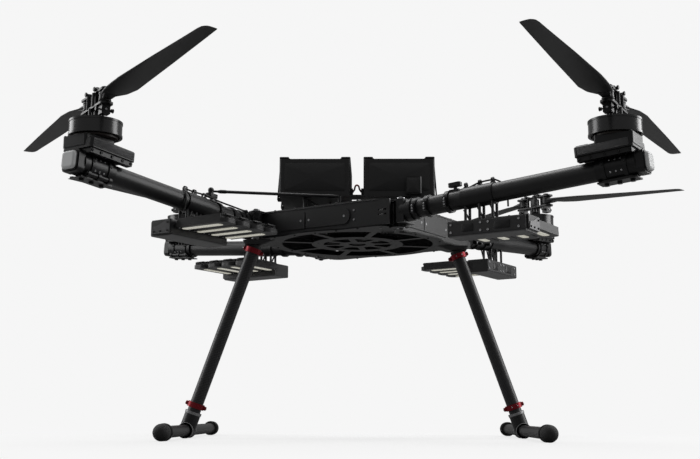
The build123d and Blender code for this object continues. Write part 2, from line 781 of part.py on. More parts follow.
def battery_straps():
    """Webbing that leans out from the top of both outer sides down to hooks on the tray's edge."""
    length, depth, height = battery_size
    z0 = tray_z + tray_plate
    x = battery_spread + length / 2
    pieces = []
    top = z0 + height - 6
    for side in (-1, 1):
        for y in (-depth / 4, depth / 4):
            inner = [(side * x, top), (side * (x + strap_lean), tray_z)]
            outer = [(side * (x + strap_lean + strap_thickness), tray_z), (side * (x + strap_thickness), top)]
            hook_x = side * (x + strap_lean)
            hook = [(side * x, tray_z), (side * x, z0), (hook_x, z0 + 2), (hook_x, tray_z)]
            profile = make_face(Polyline(*inner, *outer, close=True)) + make_face(Polyline(*hook, close=True))
            pieces.append(Pos(0, y + strap_width / 2, 0) * Rot(90, 0, 0) * extrude(profile, strap_width))
    return pieces


def power_module():
    """Upright board with a connector on the front of the right battery."""
    front = -battery_size[1] / 2
    z0 = tray_z + tray_plate
    x0, x1 = module_x
    inset, depth, lift = module_plug
    board = block(x0, x1, front - depth - module_thickness, front - depth, z0, z0 + module_height)
    plug = block(x0 + inset, x1 - inset, front - depth, front, z0 + lift, z0 + module_height - lift)
    return [board + plug]


def leg_direction(side):
    """Top and foot of one leg; the second leg is the first turned half round."""
    x, y, z = leg_top
    top = (side * x, side * y, z)
    foot = (side * leg_foot_x, side * y, skid_z)
    return top, foot


def point_on_leg(side, distance):
    top, foot = leg_direction(side)
    a = Vector(*top)
    b = Vector(*foot)
    return a + (b - a).normalized() * distance


def leg_bracket(side):
    """Tapered shoe under the bottom plate with a socket for the leg."""
    x, y, z = leg_top
    wide = Pos(side * (x - shoe_shift), side * y, 0) * RectangleRounded(*shoe_top)
    narrow = Pos(side * x, side * y, z) * RectangleRounded(*shoe_foot)
    return loft([wide, narrow])


def leg_tube(side):
    top, foot = leg_direction(side)
    tube = rod(top, foot, leg_r)
    tube -= Pos(0, 0, leg_top[2] + 50) * Box(2000, 2000, 100)
    return tube - skid_space(side)


def skid_space(side):
    """The room that a skid tube takes."""
    x = side * leg_foot_x
    return rod((x, -skid_length, skid_z), (x, skid_length, skid_z), skid_r)


def leg_clamp(side, distance):
    """Anodised split ring round the leg."""
    a = point_on_leg(side, distance)
    b = point_on_leg(side, distance + clamp_ring)
    c = point_on_leg(side, distance - 3)
    d = point_on_leg(side, distance + clamp_ring + 3)
    ring = rod(tuple(a), tuple(b), clamp_ring_r)
    lug = Pos(*((a + b) / 2)) * Pos(0, -side * (clamp_ring_r + 2), 0) * Box(*clamp_lug, clamp_ring - 4)
    return ring + lug - rod(tuple(c), tuple(d), leg_r)


def skid_tee(side):
    """Sleeve that joins the leg's foot to the skid."""
    x = side * leg_foot_x
    y = side * leg_top[1]
    sleeve = rod((x, y - tee_length / 2, skid_z), (x, y + tee_length / 2, skid_z), tee_r)
    top, foot = leg_direction(side)
    top_of_socket = point_on_leg(side, (Vector(*foot) - Vector(*top)).length - tee_socket)
    socket = rod(tuple(top_of_socket), foot, leg_r + socket_wall)
    return sleeve + socket - skid_space(side) - rod(top, foot, leg_r)


def skid_tube(side):
    x = side * leg_foot_x
    bar = rod((x, -skid_length / 2, skid_z), (x, skid_length / 2, skid_z), skid_r)
    hole = rod((x, -skid_length, skid_z), (x, skid_length, skid_z), skid_r - tube_wall)
    return bar - hole


def foot_cap(side, end):
    """Rubber cap with a rounded nose on the end of a skid."""
    x = side * leg_foot_x
    y0 = end * (skid_length / 2 - foot_length + foot_r)
    y1 = end * (skid_length / 2)
    cap = rod((x, y0, skid_z), (x, y1, skid_z), foot_r) + Pos(x, y1, skid_z) * Sphere(foot_r)
    seat = rod((x, y1 - end * foot_length, skid_z), (x, y1, skid_z), skid_r)
    return cap - seat


def antennas():
    """Two short whips with ball tips under the front edge."""
    near, far = antenna_reach
    root_z, tip_z = antenna_z
    whip_r, ball_r = antenna_r
    pieces = []
    for side in (-1, 1):
        y = antenna_inset - side_half
        root = (antenna_x + side * near, y, root_z)
        tip = (antenna_x + side * far, y, tip_z)
        pieces.append(rod(root, tip, whip_r) + Pos(*tip) * Sphere(ball_r))
    return pieces


# ---------------------------------------------------------------- write every sub-part
def save_arm(k, name):
    """The fixed and turning pieces of one arm."""
    save(f"arm_tube_{name}", *turned(k, arm_tube()))
    save(f"arm_fittings_{name}", *turned(k, *arm_fittings()))
    save(f"motor_mount_{name}", *turned(k, *motor_mount()))
    save(f"nav_light_{name}", *turned(k, nav_light()))
    save(f"light_panel_{name}", *turned(k, *light_panel()))
    save(f"light_driver_{name}", *turned(k, *light_driver()))
    save(f"motor_base_{name}", *turned(k, motor_base()))


def save_rotor(k, name):
    """Bell, hub and two blades, turned to their bearing at rest."""
    angle = math.radians(-45 + 90 * k)
    x = motor_reach * math.cos(angle)
    y = motor_reach * math.sin(angle)
    place = Pos(x, y, 0) * Rot(0, 0, blade_bearings[k])
    foil = blade(blade_droops[k])
    if turns_clockwise[k]:
        foil = mirror(foil, Plane.XZ)
    save(f"motor_bell_{name}", Pos(x, y, 0) * motor_bell())
    save(f"rotor_hub_{name}", place * hub_frame(), place * pivot_bolt(1), place * pivot_bolt(-1))
    save(f"blade_1_{name}", place * foil)
    pivot = Pos(pivot_offset, 0, 0)
    lagging = pivot * Rot(0, 0, blade_lags[k]) * pivot.inverse() * foil
    save(f"blade_2_{name}", place * Rot(0, 0, 180) * lagging)


def save_airframe():
    base, lid = centre_plates()
    save("bottom_plate", Rot(0, 0, arm_bearing) * base, payload_flange())
    save("top_plate", Rot(0, 0, arm_bearing) * lid)
    save("side_plates", *pinwheel(side_plate_piece()))
    save("hinge_pins", *pinwheel(hinge_pin()))
    save("arm_stays", *[turned(k, arm_stay())[0] for k in stayed_arms])
    save("flight_controller", flight_controller())
    save("battery_right", battery(1))
    save("battery_left", battery(-1))
    save("battery_tray", *battery_tray())
    save("battery_straps", *battery_straps(), *power_module())
    save("leg_brackets", *[leg_bracket(side) for side in (1, -1)])
    save("leg_tubes", *[leg_tube(side) for side in (1, -1)])
    save("leg_clamps", *[leg_clamp(side, d) for side in (1, -1) for d in clamp_places])
    save("skid_tubes", *[skid_tube(side) for side in (1, -1)], *[skid_tee(side) for side in (1, -1)])
    save("foot_caps", *[foot_cap(side, end) for side in (1, -1) for end in (1, -1)])
    save("antennas", *antennas())


save_airframe()
for index, arm_name in enumerate(ARMS):
    save_arm(index, arm_name)
    save_rotor(index, arm_name)
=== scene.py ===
"""Folding heavy-lift quadcopter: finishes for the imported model, and the pieces that complete it."""
import json
import math

import bmesh
import bpy
import numpy as np
from mathutils import Matrix, Vector


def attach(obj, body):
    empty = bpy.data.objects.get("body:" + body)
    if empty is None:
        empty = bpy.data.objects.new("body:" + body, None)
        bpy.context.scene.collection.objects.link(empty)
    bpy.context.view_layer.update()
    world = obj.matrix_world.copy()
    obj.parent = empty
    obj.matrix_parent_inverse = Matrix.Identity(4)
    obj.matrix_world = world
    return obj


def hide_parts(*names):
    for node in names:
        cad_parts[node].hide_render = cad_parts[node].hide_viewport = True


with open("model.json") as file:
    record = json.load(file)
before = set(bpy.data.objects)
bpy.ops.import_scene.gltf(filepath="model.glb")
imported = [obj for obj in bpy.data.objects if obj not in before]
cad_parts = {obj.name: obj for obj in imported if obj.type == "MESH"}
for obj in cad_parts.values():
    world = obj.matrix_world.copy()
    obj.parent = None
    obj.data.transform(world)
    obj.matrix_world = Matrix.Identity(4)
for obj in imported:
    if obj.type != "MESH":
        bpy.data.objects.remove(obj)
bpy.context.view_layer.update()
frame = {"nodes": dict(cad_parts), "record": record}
NODES = frame["nodes"]

# Sizes are in millimetres and are turned into metres where a mesh is made.
MM = 0.001
ARMS = ["front_right", "rear_right", "rear_left", "front_left"]
FLOOR_Z = -450.0

# Arms: bearing of the first one, the tube's root, its rise in degrees, and places along the tube.
ARM_BEARING = -32.0
ARM_ROOT = (200.0, -159.07, 30.0)
ARM_RISE = 4.44
TUBE_R = 20.0
TUBE_END = 533.05
CLAMP_START = 454.05
POD_STATION = 480.45
POD_COVER_Z = 36.2
BANDS = (56.0, 84.0, 132.0)

# Rotors: the motor's distance from the centre and its place on an arm, then the blades as they rest.
MOTOR_REACH = 1000.0 / math.sqrt(2)
MOTOR_X, MOTOR_Y = 688.98, -159.07
MOTOR_SEAT_Z = 126.0
ROTOR_Z = 200.0
ROTOR_R = 483.0
PIVOT = 42.0
PIN_X = 22.0
CROSS_BOLT_Z = 175.0
BLADE_BEARINGS = (-118.2, -50.0, -115.5, -54.5)
BLADE_LAGS = (-1.2, 0.0, 0.0, -2.7)
BLADE_DROOPS = (0.0, 5.2, 3.0, -0.5)
TURNS_CLOCKWISE = (False, True, False, True)

# Light driver and the four lamp bodies behind it.
DRIVER_X = (335.0, 508.0)
DRIVER_Y = (-178.07, -120.07)
PANEL_TOP = -5.0
MODULE_X, MODULE_PITCH = 344.95, 45.7
MODULE_Y = (-115.07, 14.93)
STRIP_MID_Y = -62.0
MODULE_FACE_Z = -23.0

# Airframe: outer levels of the two centre plates, the line of their edge screws, the side
# pads' screws and the hinge pin.
PLATE_LOW, PLATE_HIGH = 0.0, 61.0
EDGE_SCREW_Y = -186.0
PAD_FACE_Y = -189.3
HINGE = (205.0, -145.0)

# Batteries: middle of a pack, its back face and the sockets of the leads.
BATTERY_X = 97.0
BATTERY_BACK = 100.0
SOCKET_Y = 72.0

# Landing gear: the leg's upper end, its foot and the line of the skids.
LEG_TOP = (237.0, 44.0, -9.0)
LEG_FOOT_X, SKID_Z = 385.0, -432.5
LEG_LENGTH = math.hypot(148.0, 423.5)
SKID_END_Y = 338.0

# Linear value of the backdrop.
BACKDROP = 0.9216


# ---------------------------------------------------------------- numpy surfaces
def grid_faces(rows, cols, wrap_rows=False):
    """Quads between neighbouring points of a grid whose columns close into a ring."""
    r = np.arange(rows if wrap_rows else rows - 1)
    c = np.arange(cols)
    i, j = np.meshgrid(r, c, indexing="ij")
    i2, j2 = (i + 1) % rows, (j + 1) % cols
    corners = [i * cols + j, i * cols + j2, i2 * cols + j2, i2 * cols + j]
    return np.stack(corners, -1).reshape(-1, 4)


def skin(rings):
    """Closed skin over rings of points (rows, points, xyz); each end is a fan to its mean point."""
    rings = np.asarray(rings, float)
    rows, cols = rings.shape[:2]
    points = np.vstack([rings.reshape(-1, 3), rings[0].mean(0), rings[-1].mean(0)])
    around = np.arange(cols)
    after = (around + 1) % cols
    low = np.stack([np.full(cols, rows * cols), after, around], -1)
    last = (rows - 1) * cols
    high = np.stack([np.full(cols, rows * cols + 1), last + around, last + after], -1)
    return points, grid_faces(rows, cols).tolist() + low.tolist() + high.tolist()


def rounded_outline(width, depth, radius, steps=5):
    """Rounded rectangle: each corner's centre plus the radius times cosine and sine over a quarter turn."""
    radius = min(radius, width / 2 - 0.01, depth / 2 - 0.01)
    turn = np.linspace(0, math.pi / 2, steps)
    angles = (np.arange(4)[:, None] * math.pi / 2 + turn).ravel()
    signs = np.repeat([[1, 1], [-1, 1], [-1, -1], [1, -1]], steps, axis=0)
    centres = signs * [width / 2 - radius, depth / 2 - radius]
    return centres + radius * np.stack([np.cos(angles), np.sin(angles)], -1)


def slab(width, depth, height, radius=2.0, edge=0.8):
    """Rounded block from z 0: its outline, drawn in by a quarter-round edge at the bottom and the top."""
    turn = np.linspace(0, math.pi / 2, 3)
    inset = np.concatenate([edge * (1 - np.sin(turn)), edge * (1 - np.cos(turn))])
    heights = np.concatenate([edge * (1 - np.cos(turn)), height - edge * (1 - np.sin(turn))])
    rings = []
    for draw_in, z in zip(inset, heights):
        ring = rounded_outline(width - 2 * draw_in, depth - 2 * draw_in, max(radius - draw_in, 0.05))
        rings.append(np.column_stack([ring, np.full(len(ring), z)]))
    return skin(rings)


def lathe(profile, sides=16):
    """Surface of revolution: the profile's radius times cosine and sine of the bearing, at its height."""
    profile = np.asarray(profile, float)
    bearing = np.arange(sides) * 2 * math.pi / sides
    radius, height = profile[:, :1], profile[:, 1:]
    x, y = radius * np.cos(bearing), radius * np.sin(bearing)
    return skin(np.stack([x, y, np.broadcast_to(height, x.shape)], -1))


def ring_of(profile, sides=32):
    """Closed profile (radius, height) carried round the z axis, for hoops and tyres."""
    profile = np.asarray(profile, float)
    bearing = np.arange(sides) * 2 * math.pi / sides
    radius, height = profile[:, 0], profile[:, 1]
    x = np.outer(np.cos(bearing), radius)
    y = np.outer(np.sin(bearing), radius)
    z = np.broadcast_to(height, x.shape)
    return np.stack([x, y, z], -1).reshape(-1, 3), grid_faces(sides, len(profile), True).tolist()


def carried(path, section):
    """A flat section carried along a path: each ring is the path's point plus the section on two
    normals that turn as little as possible from one point to the next."""
    path = np.asarray(path, float)
    section = np.asarray(section, float)
    along = np.gradient(path, axis=0)
    along /= np.linalg.norm(along, axis=1, keepdims=True)
    side = np.cross(along[0], [0.0, 0.0, 1.0])
    if np.linalg.norm(side) < 0.1:
        side = np.cross(along[0], [0.0, 1.0, 0.0])
    rings = []
    for point, direction in zip(path, along):
        side = side - direction * side.dot(direction)
        side /= np.linalg.norm(side)
        up = np.cross(side, direction)
        rings.append(point + section[:, :1] * side + section[:, 1:] * up)
    return skin(rings)


def round_section(radius, sides=10):
    """Circle of points for a round lead or pin."""
    turn = np.arange(sides) * 2 * math.pi / sides
    return radius * np.stack([np.cos(turn), np.sin(turn)], -1)


def curve_through(points, steps=8):
    """Smooth path through points: a Catmull-Rom cubic of the four nearest points on each stretch."""
    p = np.asarray(points, float)
    p = np.vstack([2 * p[0] - p[1], p, 2 * p[-1] - p[-2]])
    t = np.linspace(0, 1, steps, endpoint=False)[:, None]
    out = []
    for a, b, c, d in zip(p[:-3], p[1:-2], p[2:-1], p[3:]):
        square, cube = 2 * a - 5 * b + 4 * c - d, 3 * b - a - 3 * c + d
        out.append(0.5 * (2 * b + (c - a) * t + square * t**2 + cube * t**3))
    out.append(p[-2:-1])
    return np.vstack(out)


def joined(parts):
    """Several meshes as one."""
    points, faces, start = [], [], 0
    for some_points, some_faces in parts:
        points.append(some_points)
        faces += [[index + start for index in face] for face in some_faces]
        start += len(some_points)
    return np.vstack(points), faces


def moved(part, x=0.0, y=0.0, z=0.0, turn=(0, 0, 0)):
    """The part turned about X, then Y, then Z, in degrees, and moved."""
    a, b, c = (math.radians(v) for v in turn)
    spin = np.array(Matrix.Rotation(c, 3, "Z") @ Matrix.Rotation(b, 3, "Y") @ Matrix.Rotation(a, 3, "X"))
    return part[0] @ spin.T + [x, y, z], part[1]


def on_arm(k, part):
    """A part drawn in the frame of an arm along +X, put on arm k."""
    return moved(part, turn=(0, 0, ARM_BEARING + 90 * k))


def on_tube(k, part):
    """A part drawn about the tube's axis, X outward from the arm root, put on arm k."""
    return on_arm(k, moved(part, *ARM_ROOT, turn=(0, -ARM_RISE, 0)))


def add_piece(name, parts, material, body, smooth_angle=35.0):
    """Put a mesh into the scene with its place in its vertices, riding on a body."""
    points, faces = joined(parts)
    mesh = bpy.data.meshes.new(name)
    mesh.from_pydata((points * MM).tolist(), [], faces)
    work = bmesh.new()
    work.from_mesh(mesh)
    bmesh.ops.recalc_face_normals(work, faces=work.faces)
    work.to_mesh(mesh)
    work.free()
    mesh.shade_smooth()
    mesh.set_sharp_from_angle(angle=math.radians(smooth_angle))
    mesh.materials.append(material)
    piece = bpy.data.objects.new(name, mesh)
    bpy.context.scene.collection.objects.link(piece)
    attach(piece, body)
    return piece


# ---------------------------------------------------------------- shader groups
def node(tree, kind, inputs=(), **settings):
    """A new shader node; inputs are (socket, value or output) pairs."""
    made = tree.nodes.new(kind)
    for key, value in settings.items():
        setattr(made, key, value)
    for socket, value in inputs:
        if isinstance(value, bpy.types.NodeSocket):
            tree.links.new(value, made.inputs[socket])
        else:
            made.inputs[socket].default_value = value
    return made


def maths(tree, operation, a, b=0.0):
    """Output of one maths node."""
    return node(tree, "ShaderNodeMath", ((0, a), (1, b)), operation=operation).outputs[0]


def mix_values(tree, factor, a, b):
    """Value between a and b."""
    made = node(tree, "ShaderNodeMix", ((0, factor), (2, a), (3, b)), data_type="FLOAT")
    return made.outputs[0]


def mix_colours(tree, factor, a, b):
    """Colour between a and b."""
    made = node(tree, "ShaderNodeMix", ((0, factor), (6, a), (7, b)), data_type="RGBA")
    return made.outputs[2]


def group(name, inputs, outputs):
    """An empty node group with named sockets: kinds are Float, Vector or Color."""
    tree = bpy.data.node_groups.new(name, "ShaderNodeTree")
    for label, kind, default in inputs:
        socket = tree.interface.new_socket(label, in_out="INPUT", socket_type=f"NodeSocket{kind}")
        socket.default_value = default
    for label, kind in outputs:
        tree.interface.new_socket(label, in_out="OUTPUT", socket_type=f"NodeSocket{kind}")
    return tree, tree.nodes.new("NodeGroupInput"), tree.nodes.new("NodeGroupOutput")


def twill_group():
    """Two-over-two twill: the tow on top follows the sum of the two cell numbers, modulo four."""
    sockets = [("U", "Float", 0.0), ("V", "Float", 0.0), ("Pitch", "Float", 0.002)]
    tree, given, out = group("twill weave", sockets, [("Over", "Float"), ("Height", "Float")])
    u = maths(tree, "DIVIDE", given.outputs["U"], given.outputs["Pitch"])
    v = maths(tree, "DIVIDE", given.outputs["V"], given.outputs["Pitch"])
    cells = maths(tree, "ADD", maths(tree, "FLOOR", u), maths(tree, "FLOOR", v))
    over = maths(tree, "LESS_THAN", maths(tree, "FLOORED_MODULO", cells, 4.0), 2.0)
    arches = []
    for across in (u, v):
        centred = maths(tree, "SUBTRACT", maths(tree, "FRACT", across), 0.5)
        arches.append(maths(tree, "SUBTRACT", 1.0, maths(tree, "POWER", maths(tree, "ABSOLUTE", centred), 2.0)))
    tree.links.new(over, out.inputs["Over"])
    tree.links.new(mix_values(tree, over, arches[0], arches[1]), out.inputs["Height"])
    return tree


def grain_group():
    """Fine grain and slow blotches of two noises, for moulded, anodised and painted surfaces."""
    sockets = [("Position", "Vector", (0, 0, 0)), ("Grain", "Float", 900.0), ("Blotch", "Float", 14.0)]
    tree, given, out = group("surface grain", sockets, [("Fine", "Float"), ("Slow", "Float")])
    for label, size, detail in (("Fine", "Grain", 2.0), ("Slow", "Blotch", 5.0)):
        noise = node(
            tree,
            "ShaderNodeTexNoise",
            (("Vector", given.outputs["Position"]), ("Scale", given.outputs[size]), ("Detail", detail)),
        )
        tree.links.new(noise.outputs["Fac"], out.inputs[label])
    return tree


def scratch_group():
    """Thin scratches: a stretched noise, kept only where it passes a narrow band."""
    sockets = [("Position", "Vector", (0, 0, 0)), ("Amount", "Float", 0.3)]
    tree, given, out = group("handling marks", sockets, [("Mark", "Float")])
    stretched = node(
        tree, "ShaderNodeMapping", (("Vector", given.outputs["Position"]), ("Scale", (420.0, 36.0, 190.0)))
    )
    stretched.inputs["Rotation"].default_value = (0.5, 0.3, 0.9)
    noise = node(tree, "ShaderNodeTexNoise", (("Vector", stretched.outputs[0]), ("Scale", 1.0), ("Detail", 3.0)))
    band = maths(tree, "GREATER_THAN", noise.outputs["Fac"], 0.71)
    tree.links.new(maths(tree, "MULTIPLY", band, given.outputs["Amount"]), out.inputs["Mark"])
    return tree


def knurl_group():
    """Raised diamonds: the product of two sine waves that cross at right angles."""
    sockets = [("U", "Float", 0.0), ("V", "Float", 0.0), ("Pitch", "Float", 0.003)]
    tree, given, out = group("diamond texture", sockets, [("Height", "Float")])
    plus = maths(tree, "ADD", given.outputs["U"], given.outputs["V"])
    minus = maths(tree, "SUBTRACT", given.outputs["U"], given.outputs["V"])
    waves = []
    for diagonal in (plus, minus):
        turns = maths(tree, "DIVIDE", diagonal, given.outputs["Pitch"])
        waves.append(maths(tree, "ABSOLUTE", maths(tree, "SINE", maths(tree, "MULTIPLY", turns, math.pi))))
    tree.links.new(maths(tree, "MULTIPLY", *waves), out.inputs["Height"])
    return tree


def dot_group():
    """Round dots in a square grid: one where the distance from the cell's middle is under the share given."""
    sockets = [("U", "Float", 0.0), ("V", "Float", 0.0), ("Pitch", "Float", 0.003), ("Share", "Float", 0.3)]
    tree, given, out = group("dot grid", sockets, [("Dot", "Float")])
    squares = []
    for label in ("U", "V"):
        cell = maths(tree, "FRACT", maths(tree, "DIVIDE", given.outputs[label], given.outputs["Pitch"]))
        squares.append(maths(tree, "POWER", maths(tree, "ABSOLUTE", maths(tree, "SUBTRACT", cell, 0.5)), 2.0))
    distance = maths(tree, "SQRT", maths(tree, "ADD", *squares))
    tree.links.new(maths(tree, "LESS_THAN", distance, given.outputs["Share"]), out.inputs["Dot"])
    return tree


TWILL, GRAIN, SCRATCH, KNURL, DOTS = twill_group(), grain_group(), scratch_group(), knurl_group(), dot_group()


def use(tree, shared, **inputs):
    """A shared node group with its inputs set or linked."""
    return node(tree, "ShaderNodeGroup", tuple(inputs.items()), node_tree=shared)


# ---------------------------------------------------------------- materials
def new_material(name, roughness=0.5, metallic=0.0, specular=0.5, coat=0.0, coat_roughness=0.2):
    """Material with its fixed values set; gives its tree, its shader and the object coordinates too."""
    material = bpy.data.materials.new(name)
    material.use_nodes = True
    tree = material.node_tree
    shader = tree.nodes["Principled BSDF"]
    shader.inputs["Roughness"].default_value = roughness
    shader.inputs["Metallic"].default_value = metallic
    shader.inputs["Specular IOR Level"].default_value = specular
    shader.inputs["Coat Weight"].default_value = coat
    shader.inputs["Coat Roughness"].default_value = coat_roughness
    place = tree.nodes.new("ShaderNodeTexCoord").outputs["Object"]
    return material, tree, shader, place


def set_bump(tree, shader, height, distance, strength=0.6):
    """Relief from a height, on the shader's normal."""
    bump = node(tree, "ShaderNodeBump", (("Height", height), ("Distance", distance), ("Strength", strength)))
    tree.links.new(bump.outputs[0], shader.inputs["Normal"])


def grained(name, dark, light, rough, grain=900.0, bump=0.00012, marks=0.15, **settings):
    """Moulded or anodised surface: colour and roughness drift with slow blotches, fine grain in relief."""
    material, tree, shader, place = new_material(name, **settings)
    texture = use(tree, GRAIN, Position=place, Grain=grain)
    mark = use(tree, SCRATCH, Position=place, Amount=marks).outputs[0]
    colour = mix_colours(tree, texture.outputs["Slow"], (*dark, 1), (*light, 1))
    worn = tuple(min(1.0, 2.4 * c + 0.05) for c in light)
    tree.links.new(mix_colours(tree, mark, colour, (*worn, 1)), shader.inputs["Base Color"])
    tree.links.new(mix_values(tree, texture.outputs["Slow"], rough[0], rough[1]), shader.inputs["Roughness"])
    set_bump(tree, shader, texture.outputs["Fine"], bump)
    return material


def carbon(name, u_v, dark=0.006, light=0.012, pitch=0.0013, specular=0.35):
    """Woven carbon under a satin coat; u_v gives the two directions along the cloth."""
    material, tree, shader, place = new_material(name, specular=specular, coat=0.15, coat_roughness=0.3)
    u, v, flat = u_v(tree, place)
    weave = use(tree, TWILL, U=u, V=v, Pitch=pitch)
    over = maths(tree, "MULTIPLY", weave.outputs["Over"], flat)
    texture = use(tree, GRAIN, Position=place, Grain=300.0, Blotch=9.0)
    shade = mix_values(tree, over, dark, light)
    shade = maths(tree, "MULTIPLY", shade, mix_values(tree, texture.outputs["Slow"], 0.7, 1.3))
    blue = maths(tree, "MULTIPLY", shade, 1.08)
    colour = node(tree, "ShaderNodeCombineColor", ((0, shade), (1, shade), (2, blue)))
    tree.links.new(colour.outputs[0], shader.inputs["Base Color"])
    tree.links.new(mix_values(tree, over, 0.38, 0.48), shader.inputs["Roughness"])
    set_bump(tree, shader, maths(tree, "MULTIPLY", weave.outputs["Height"], flat), 0.0001, 0.5)
    return material


def plate_directions(tree, place):
    """Cloth lies in the plane of the plates, square to the arms; the cut edges show none."""
    turned = node(tree, "ShaderNodeMapping", (("Vector", place),), vector_type="TEXTURE")
    turned.inputs["Rotation"].default_value = (0, 0, math.radians(ARM_BEARING))
    axes = node(tree, "ShaderNodeSeparateXYZ", ((0, turned.outputs[0]),)).outputs
    normal = surface_normal(tree)
    up = maths(tree, "ABSOLUTE", normal[2])
    flat = maths(tree, "GREATER_THAN", up, 0.5)
    across = mix_values(tree, flat, axes[0], maths(tree, "ADD", axes[0], axes[1]))
    along = mix_values(tree, flat, axes[2], axes[1])
    return across, along, maths(tree, "ADD", maths(tree, "MULTIPLY", flat, 0.4), 0.6)


def tube_directions(start, end, radius):
    """Cloth wound on a tube: one direction runs along its axis, the other round its wall."""

    def directions(tree, place):
        """Lengths along the axis and round the wall."""
        axis = (Vector(end) - Vector(start)).normalized()
        turn = axis.to_track_quat("X", "Z").to_euler()
        turned = node(tree, "ShaderNodeMapping", (("Vector", place),), vector_type="TEXTURE")
        turned.inputs["Location"].default_value = Vector(start) * MM
        turned.inputs["Rotation"].default_value = turn
        axes = node(tree, "ShaderNodeSeparateXYZ", ((0, turned.outputs[0]),)).outputs
        angle = maths(tree, "ARCTAN2", axes[1], axes[2])
        return axes[0], maths(tree, "MULTIPLY", angle, radius * MM), 1.0

    return directions


def red_anodised():
    """Dark red anodised alloy of the leg rings."""
    return grained("red anodised", (0.16, 0.006, 0.012), (0.26, 0.012, 0.02), (0.28, 0.42), metallic=0.7)


def surface_normal(tree):
    """The three parts of the surface's normal."""
    geometry = tree.nodes.new("ShaderNodeNewGeometry")
    return node(tree, "ShaderNodeSeparateXYZ", ((0, geometry.outputs["Normal"]),)).outputs


def lengths(tree):
    """The two lengths that a piece keeps in its UV map."""
    flat = node(tree, "ShaderNodeUVMap", (), uv_map="lengths").outputs[0]
    return node(tree, "ShaderNodeSeparateXYZ", ((0, flat),)).outputs


def strip_material():
    """Cream diffuser with rows of lamps that show through as small darker dots; the unlit strips also glow
    faintly, a painted light that makes them look bright.
    """
    material, tree, shader, _ = new_material("light strip", roughness=0.42)
    axes = lengths(tree)
    dots = use(tree, DOTS, U=axes[0], V=axes[1], Pitch=0.0034, Share=0.3).outputs[0]
    cream, dot = (0.66, 0.65, 0.58, 1), (0.24, 0.22, 0.15, 1)
    colour = mix_colours(tree, dots, cream, dot)
    tree.links.new(colour, shader.inputs["Base Color"])
    # Painted light: the strips glow with their own colour though the lamps are off, so that they look bright.
    tree.links.new(colour, shader.inputs["Emission Color"])
    shader.inputs["Emission Strength"].default_value = 0.62
    set_bump(tree, shader, dots, 0.0002, 0.4)
    return material


def knurled():
    """Black moulding with small raised diamonds."""
    material, tree, shader, _ = new_material("diamond cover", roughness=0.42)
    axes = lengths(tree)
    height = use(tree, KNURL, U=axes[0], V=axes[1], Pitch=0.0026).outputs[0]
    colour = mix_colours(tree, height, (0.012, 0.012, 0.013, 1), (0.06, 0.06, 0.062, 1))
    tree.links.new(colour, shader.inputs["Base Color"])
    set_bump(tree, shader, height, 0.0006, 0.9)
    return material


def painted_lit_underside(name, dark, under):
    """Black housing with painted light below: the paler colour lies where the surface faces down, standing in for
    light that falls on the downward faces.
    """
    material = grained(name, dark, tuple(1.8 * c for c in dark), (0.4, 0.52))
    tree = material.node_tree
    shader = tree.nodes["Principled BSDF"]
    colour = shader.inputs["Base Color"].links[0].from_socket
    normal = surface_normal(tree)
    # Painted light: faces turned downward take the paler colour, as if lit from below.
    down = maths(tree, "LESS_THAN", normal[2], -0.6)
    tree.links.new(mix_colours(tree, down, colour, (*under, 1)), shader.inputs["Base Color"])
    return material


LIGHT_STRIP = strip_material()
KNURLED = knurled()
PALE_ALLOY = grained("pale alloy", (0.2, 0.2, 0.205), (0.3, 0.3, 0.305), (0.38, 0.5), metallic=0.35)
SATIN_ALLOY = grained(
    "satin alloy", (0.07, 0.07, 0.072), (0.12, 0.12, 0.122), (0.3, 0.4), metallic=0.85
)
CAN = grained(
    "motor can", (0.005, 0.005, 0.0055), (0.009, 0.009, 0.0095), (0.2, 0.3), marks=0.08, coat=0.3
)
RED_LEAD = grained("red lead", (0.2, 0.008, 0.008), (0.32, 0.014, 0.012), (0.38, 0.5), marks=0.0)
MATERIALS = {
    "carbon_plate": carbon("carbon plate", plate_directions),
    "black_alloy": grained(
        "black anodised", (0.005, 0.005, 0.0055), (0.011, 0.011, 0.012), (0.28, 0.42), specular=0.34
    ),
    "black_plastic": grained(
        "moulded plastic", (0.007, 0.007, 0.0075), (0.014, 0.014, 0.0145), (0.46, 0.58), grain=1400.0, bump=0.0002
    ),
    "battery_shell": grained(
        "battery shell", (0.008, 0.008, 0.0085), (0.012, 0.012, 0.0125), (0.5, 0.62), grain=1100.0, bump=0.0002
    ),
    "webbing": grained(
        "webbing", (0.006, 0.006, 0.006), (0.014, 0.014, 0.014), (0.75, 0.9), grain=2200.0, bump=0.0006
    ),
    "blade": grained(
        "blade", (0.017, 0.017, 0.0175), (0.027, 0.027, 0.028), (0.36, 0.48), grain=500.0, bump=0.00004
    ),
    "lamp_lens": grained(
        "frosted lens", (0.62, 0.63, 0.63), (0.68, 0.69, 0.69), (0.42, 0.5), bump=0.00001, marks=0.0
    ),
    "heat_sink": grained("heat sink", (0.008, 0.008, 0.0085), (0.02, 0.02, 0.021), (0.36, 0.5)),
    "winding": grained(
        "winding core", (0.010, 0.008, 0.007), (0.022, 0.014, 0.010), (0.4, 0.55), marks=0.0
    ),
    "rubber": grained(
        "rubber", (0.006, 0.006, 0.006), (0.012, 0.012, 0.012), (0.6, 0.78), grain=1600.0, bump=0.0003
    ),
    "red_alloy": red_anodised(),
    "steel": grained(
        "steel", (0.36, 0.36, 0.37), (0.5, 0.5, 0.51), (0.28, 0.4), metallic=1.0, marks=0.3
    ),
}


def add_plain(name, parts, slot, body, smooth_angle=35.0):
    """A piece with the finish of its slot."""
    return add_piece(name, parts, MATERIALS[slot], body, smooth_angle)


def point_on_arm(k, x, y, z):
    """Point of the arm frame, put on arm k."""
    return tuple(on_arm(k, (np.array([[x, y, z]]), []))[0][0])


